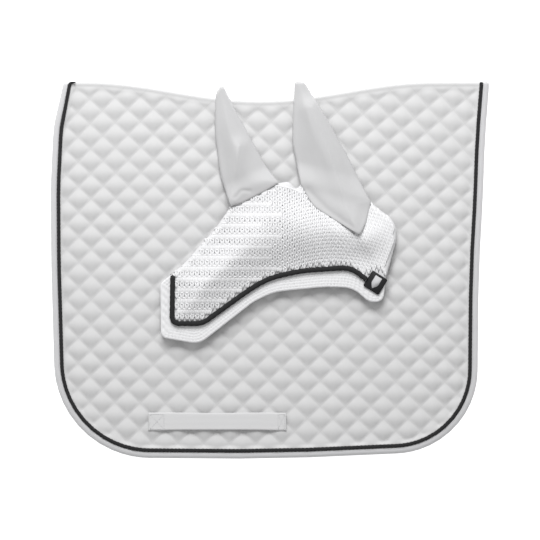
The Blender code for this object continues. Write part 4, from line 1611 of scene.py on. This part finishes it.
@dataclass(frozen=True)
class Studio:
    """Pale floor, soft light from the spine's side, and the camera straight above."""

    lens: float = 150.0
    sensor: float = 36.0
    view_width: float = 0.810
    aim_height: float = 0.025
    key_power: float = 72.0
    key_place: tuple[float, float, float] = (-0.25, 2.0, 1.75)
    key_size: float = 1.3
    sky: float = 0.53
    sheet_size: float = 6.0
    sheet_tone: float = 0.93
    sheet_glow: float = 0.72
    sheet_level: float = -0.0005

    def build(self) -> None:
        """Sets up the floor, the light and the camera."""
        self.floor()
        self.light()
        self.camera()

    def floor(self) -> None:
        """The pale sheet that the set lies on."""
        built = bmesh.new()
        bmesh.ops.create_grid(built, x_segments=1, y_segments=1, size=self.sheet_size)
        material = bpy.data.materials.new("studio_floor")
        material.use_nodes = True
        feed(material.node_tree, material.node_tree.nodes["Principled BSDF"], {
            "Base Color": (self.sheet_tone, self.sheet_tone, self.sheet_tone, 1.0),
            "Roughness": 0.95,
            "Specular IOR Level": 0.1,
            "Emission Color": WHITE,
            "Emission Strength": self.sheet_glow,
        })
        made = finished("studio_floor", built, material, recalculate=False)
        made.location.z = self.sheet_level

    def light(self) -> None:
        """A broad lamp beyond the spine and an even sky."""
        lamp = bpy.data.lights.new("key", "AREA")
        lamp.shape = "SQUARE"
        lamp.size = self.key_size
        lamp.energy = self.key_power
        key = bpy.data.objects.new("key", lamp)
        key.location = self.key_place
        key.rotation_euler = (-Vector(self.key_place)).to_track_quat("-Z", "Y").to_euler()
        bpy.context.scene.collection.objects.link(key)
        world = bpy.data.worlds.new("sky")
        world.use_nodes = True
        feed(world.node_tree, world.node_tree.nodes["Background"], {"Color": WHITE, "Strength": self.sky})
        bpy.context.scene.world = world

    def camera(self) -> None:
        """The camera, straight above the set, with the spine at the top of the picture."""
        data = bpy.data.cameras.new("camera")
        data.lens = self.lens
        data.sensor_width = self.sensor
        data.dof.use_dof = False
        made = bpy.data.objects.new("camera", data)
        made.location = (0.0, 0.0, self.aim_height + self.view_width * self.lens / self.sensor)
        bpy.context.scene.collection.objects.link(made)
        bpy.context.scene.camera = made
        bpy.context.scene.view_settings.view_transform = "Standard"


FINISHES = {
    "quilt": Finish("quilted_cotton", (0.595, 0.595, 0.597), (0.565, 0.565, 0.568), Weave.TWILL,
                    quilted=True),
    "lining": Finish("lining_cotton", (0.62, 0.62, 0.63), (0.58, 0.58, 0.59), Weave.PLAIN, quilted=True),
    "tape": Finish("binding_tape", (0.57, 0.57, 0.58), (0.53, 0.53, 0.54), Weave.RIB, map_name=RUN_MAP),
    "webbing": Finish("webbing", (0.635, 0.635, 0.64), (0.60, 0.60, 0.605), Weave.RIB, bump=0.4),
    "thread": Finish("sewing_thread", (0.60, 0.60, 0.61), (0.56, 0.56, 0.57), Weave.YARN),
    "piping": Finish("black_piping", (0.016, 0.016, 0.017), (0.026, 0.026, 0.027), Weave.BRAID, sheen=0.0),
    "cord": Finish("black_trim", (0.014, 0.014, 0.015), (0.024, 0.024, 0.025), Weave.BRAID, sheen=0.0),
    "yarn": Finish("crochet_cotton", (0.74, 0.74, 0.75), (0.69, 0.69, 0.70), Weave.YARN, sheen=0.3),
    "knit": Finish("crochet_ground", (0.67, 0.67, 0.68), (0.64, 0.64, 0.65), Weave.YARN, depth=0.0006),
    "lycra": Finish("ear_lycra", (0.500, 0.500, 0.505), (0.465, 0.465, 0.47), Weave.PLAIN, roughness=0.6),
    "rubber": Finish("badge_rubber", (0.020, 0.020, 0.021), (0.030, 0.030, 0.032), Weave.MOULDED, sheen=0.0),
    "enamel": Finish("badge_enamel", (0.50, 0.50, 0.51), (0.46, 0.46, 0.47), Weave.MOULDED, sheen=0.0),
}


def main() -> None:
    """Builds the whole set and the studio around it."""
    logging.basicConfig(level=logging.INFO, format="%(name)s: %(message)s")
    groups = {kind.value: weave_group(kind) for kind in Weave}
    groups.update(tone=tone_group(), stitches=stitch_group())
    finishes = {key: finish.build(groups) for key, finish in FINISHES.items()}
    SaddlePad(finishes).build()
    EarBonnet(finishes).build()
    Studio().build()


if __name__ == "__main__":
    main()
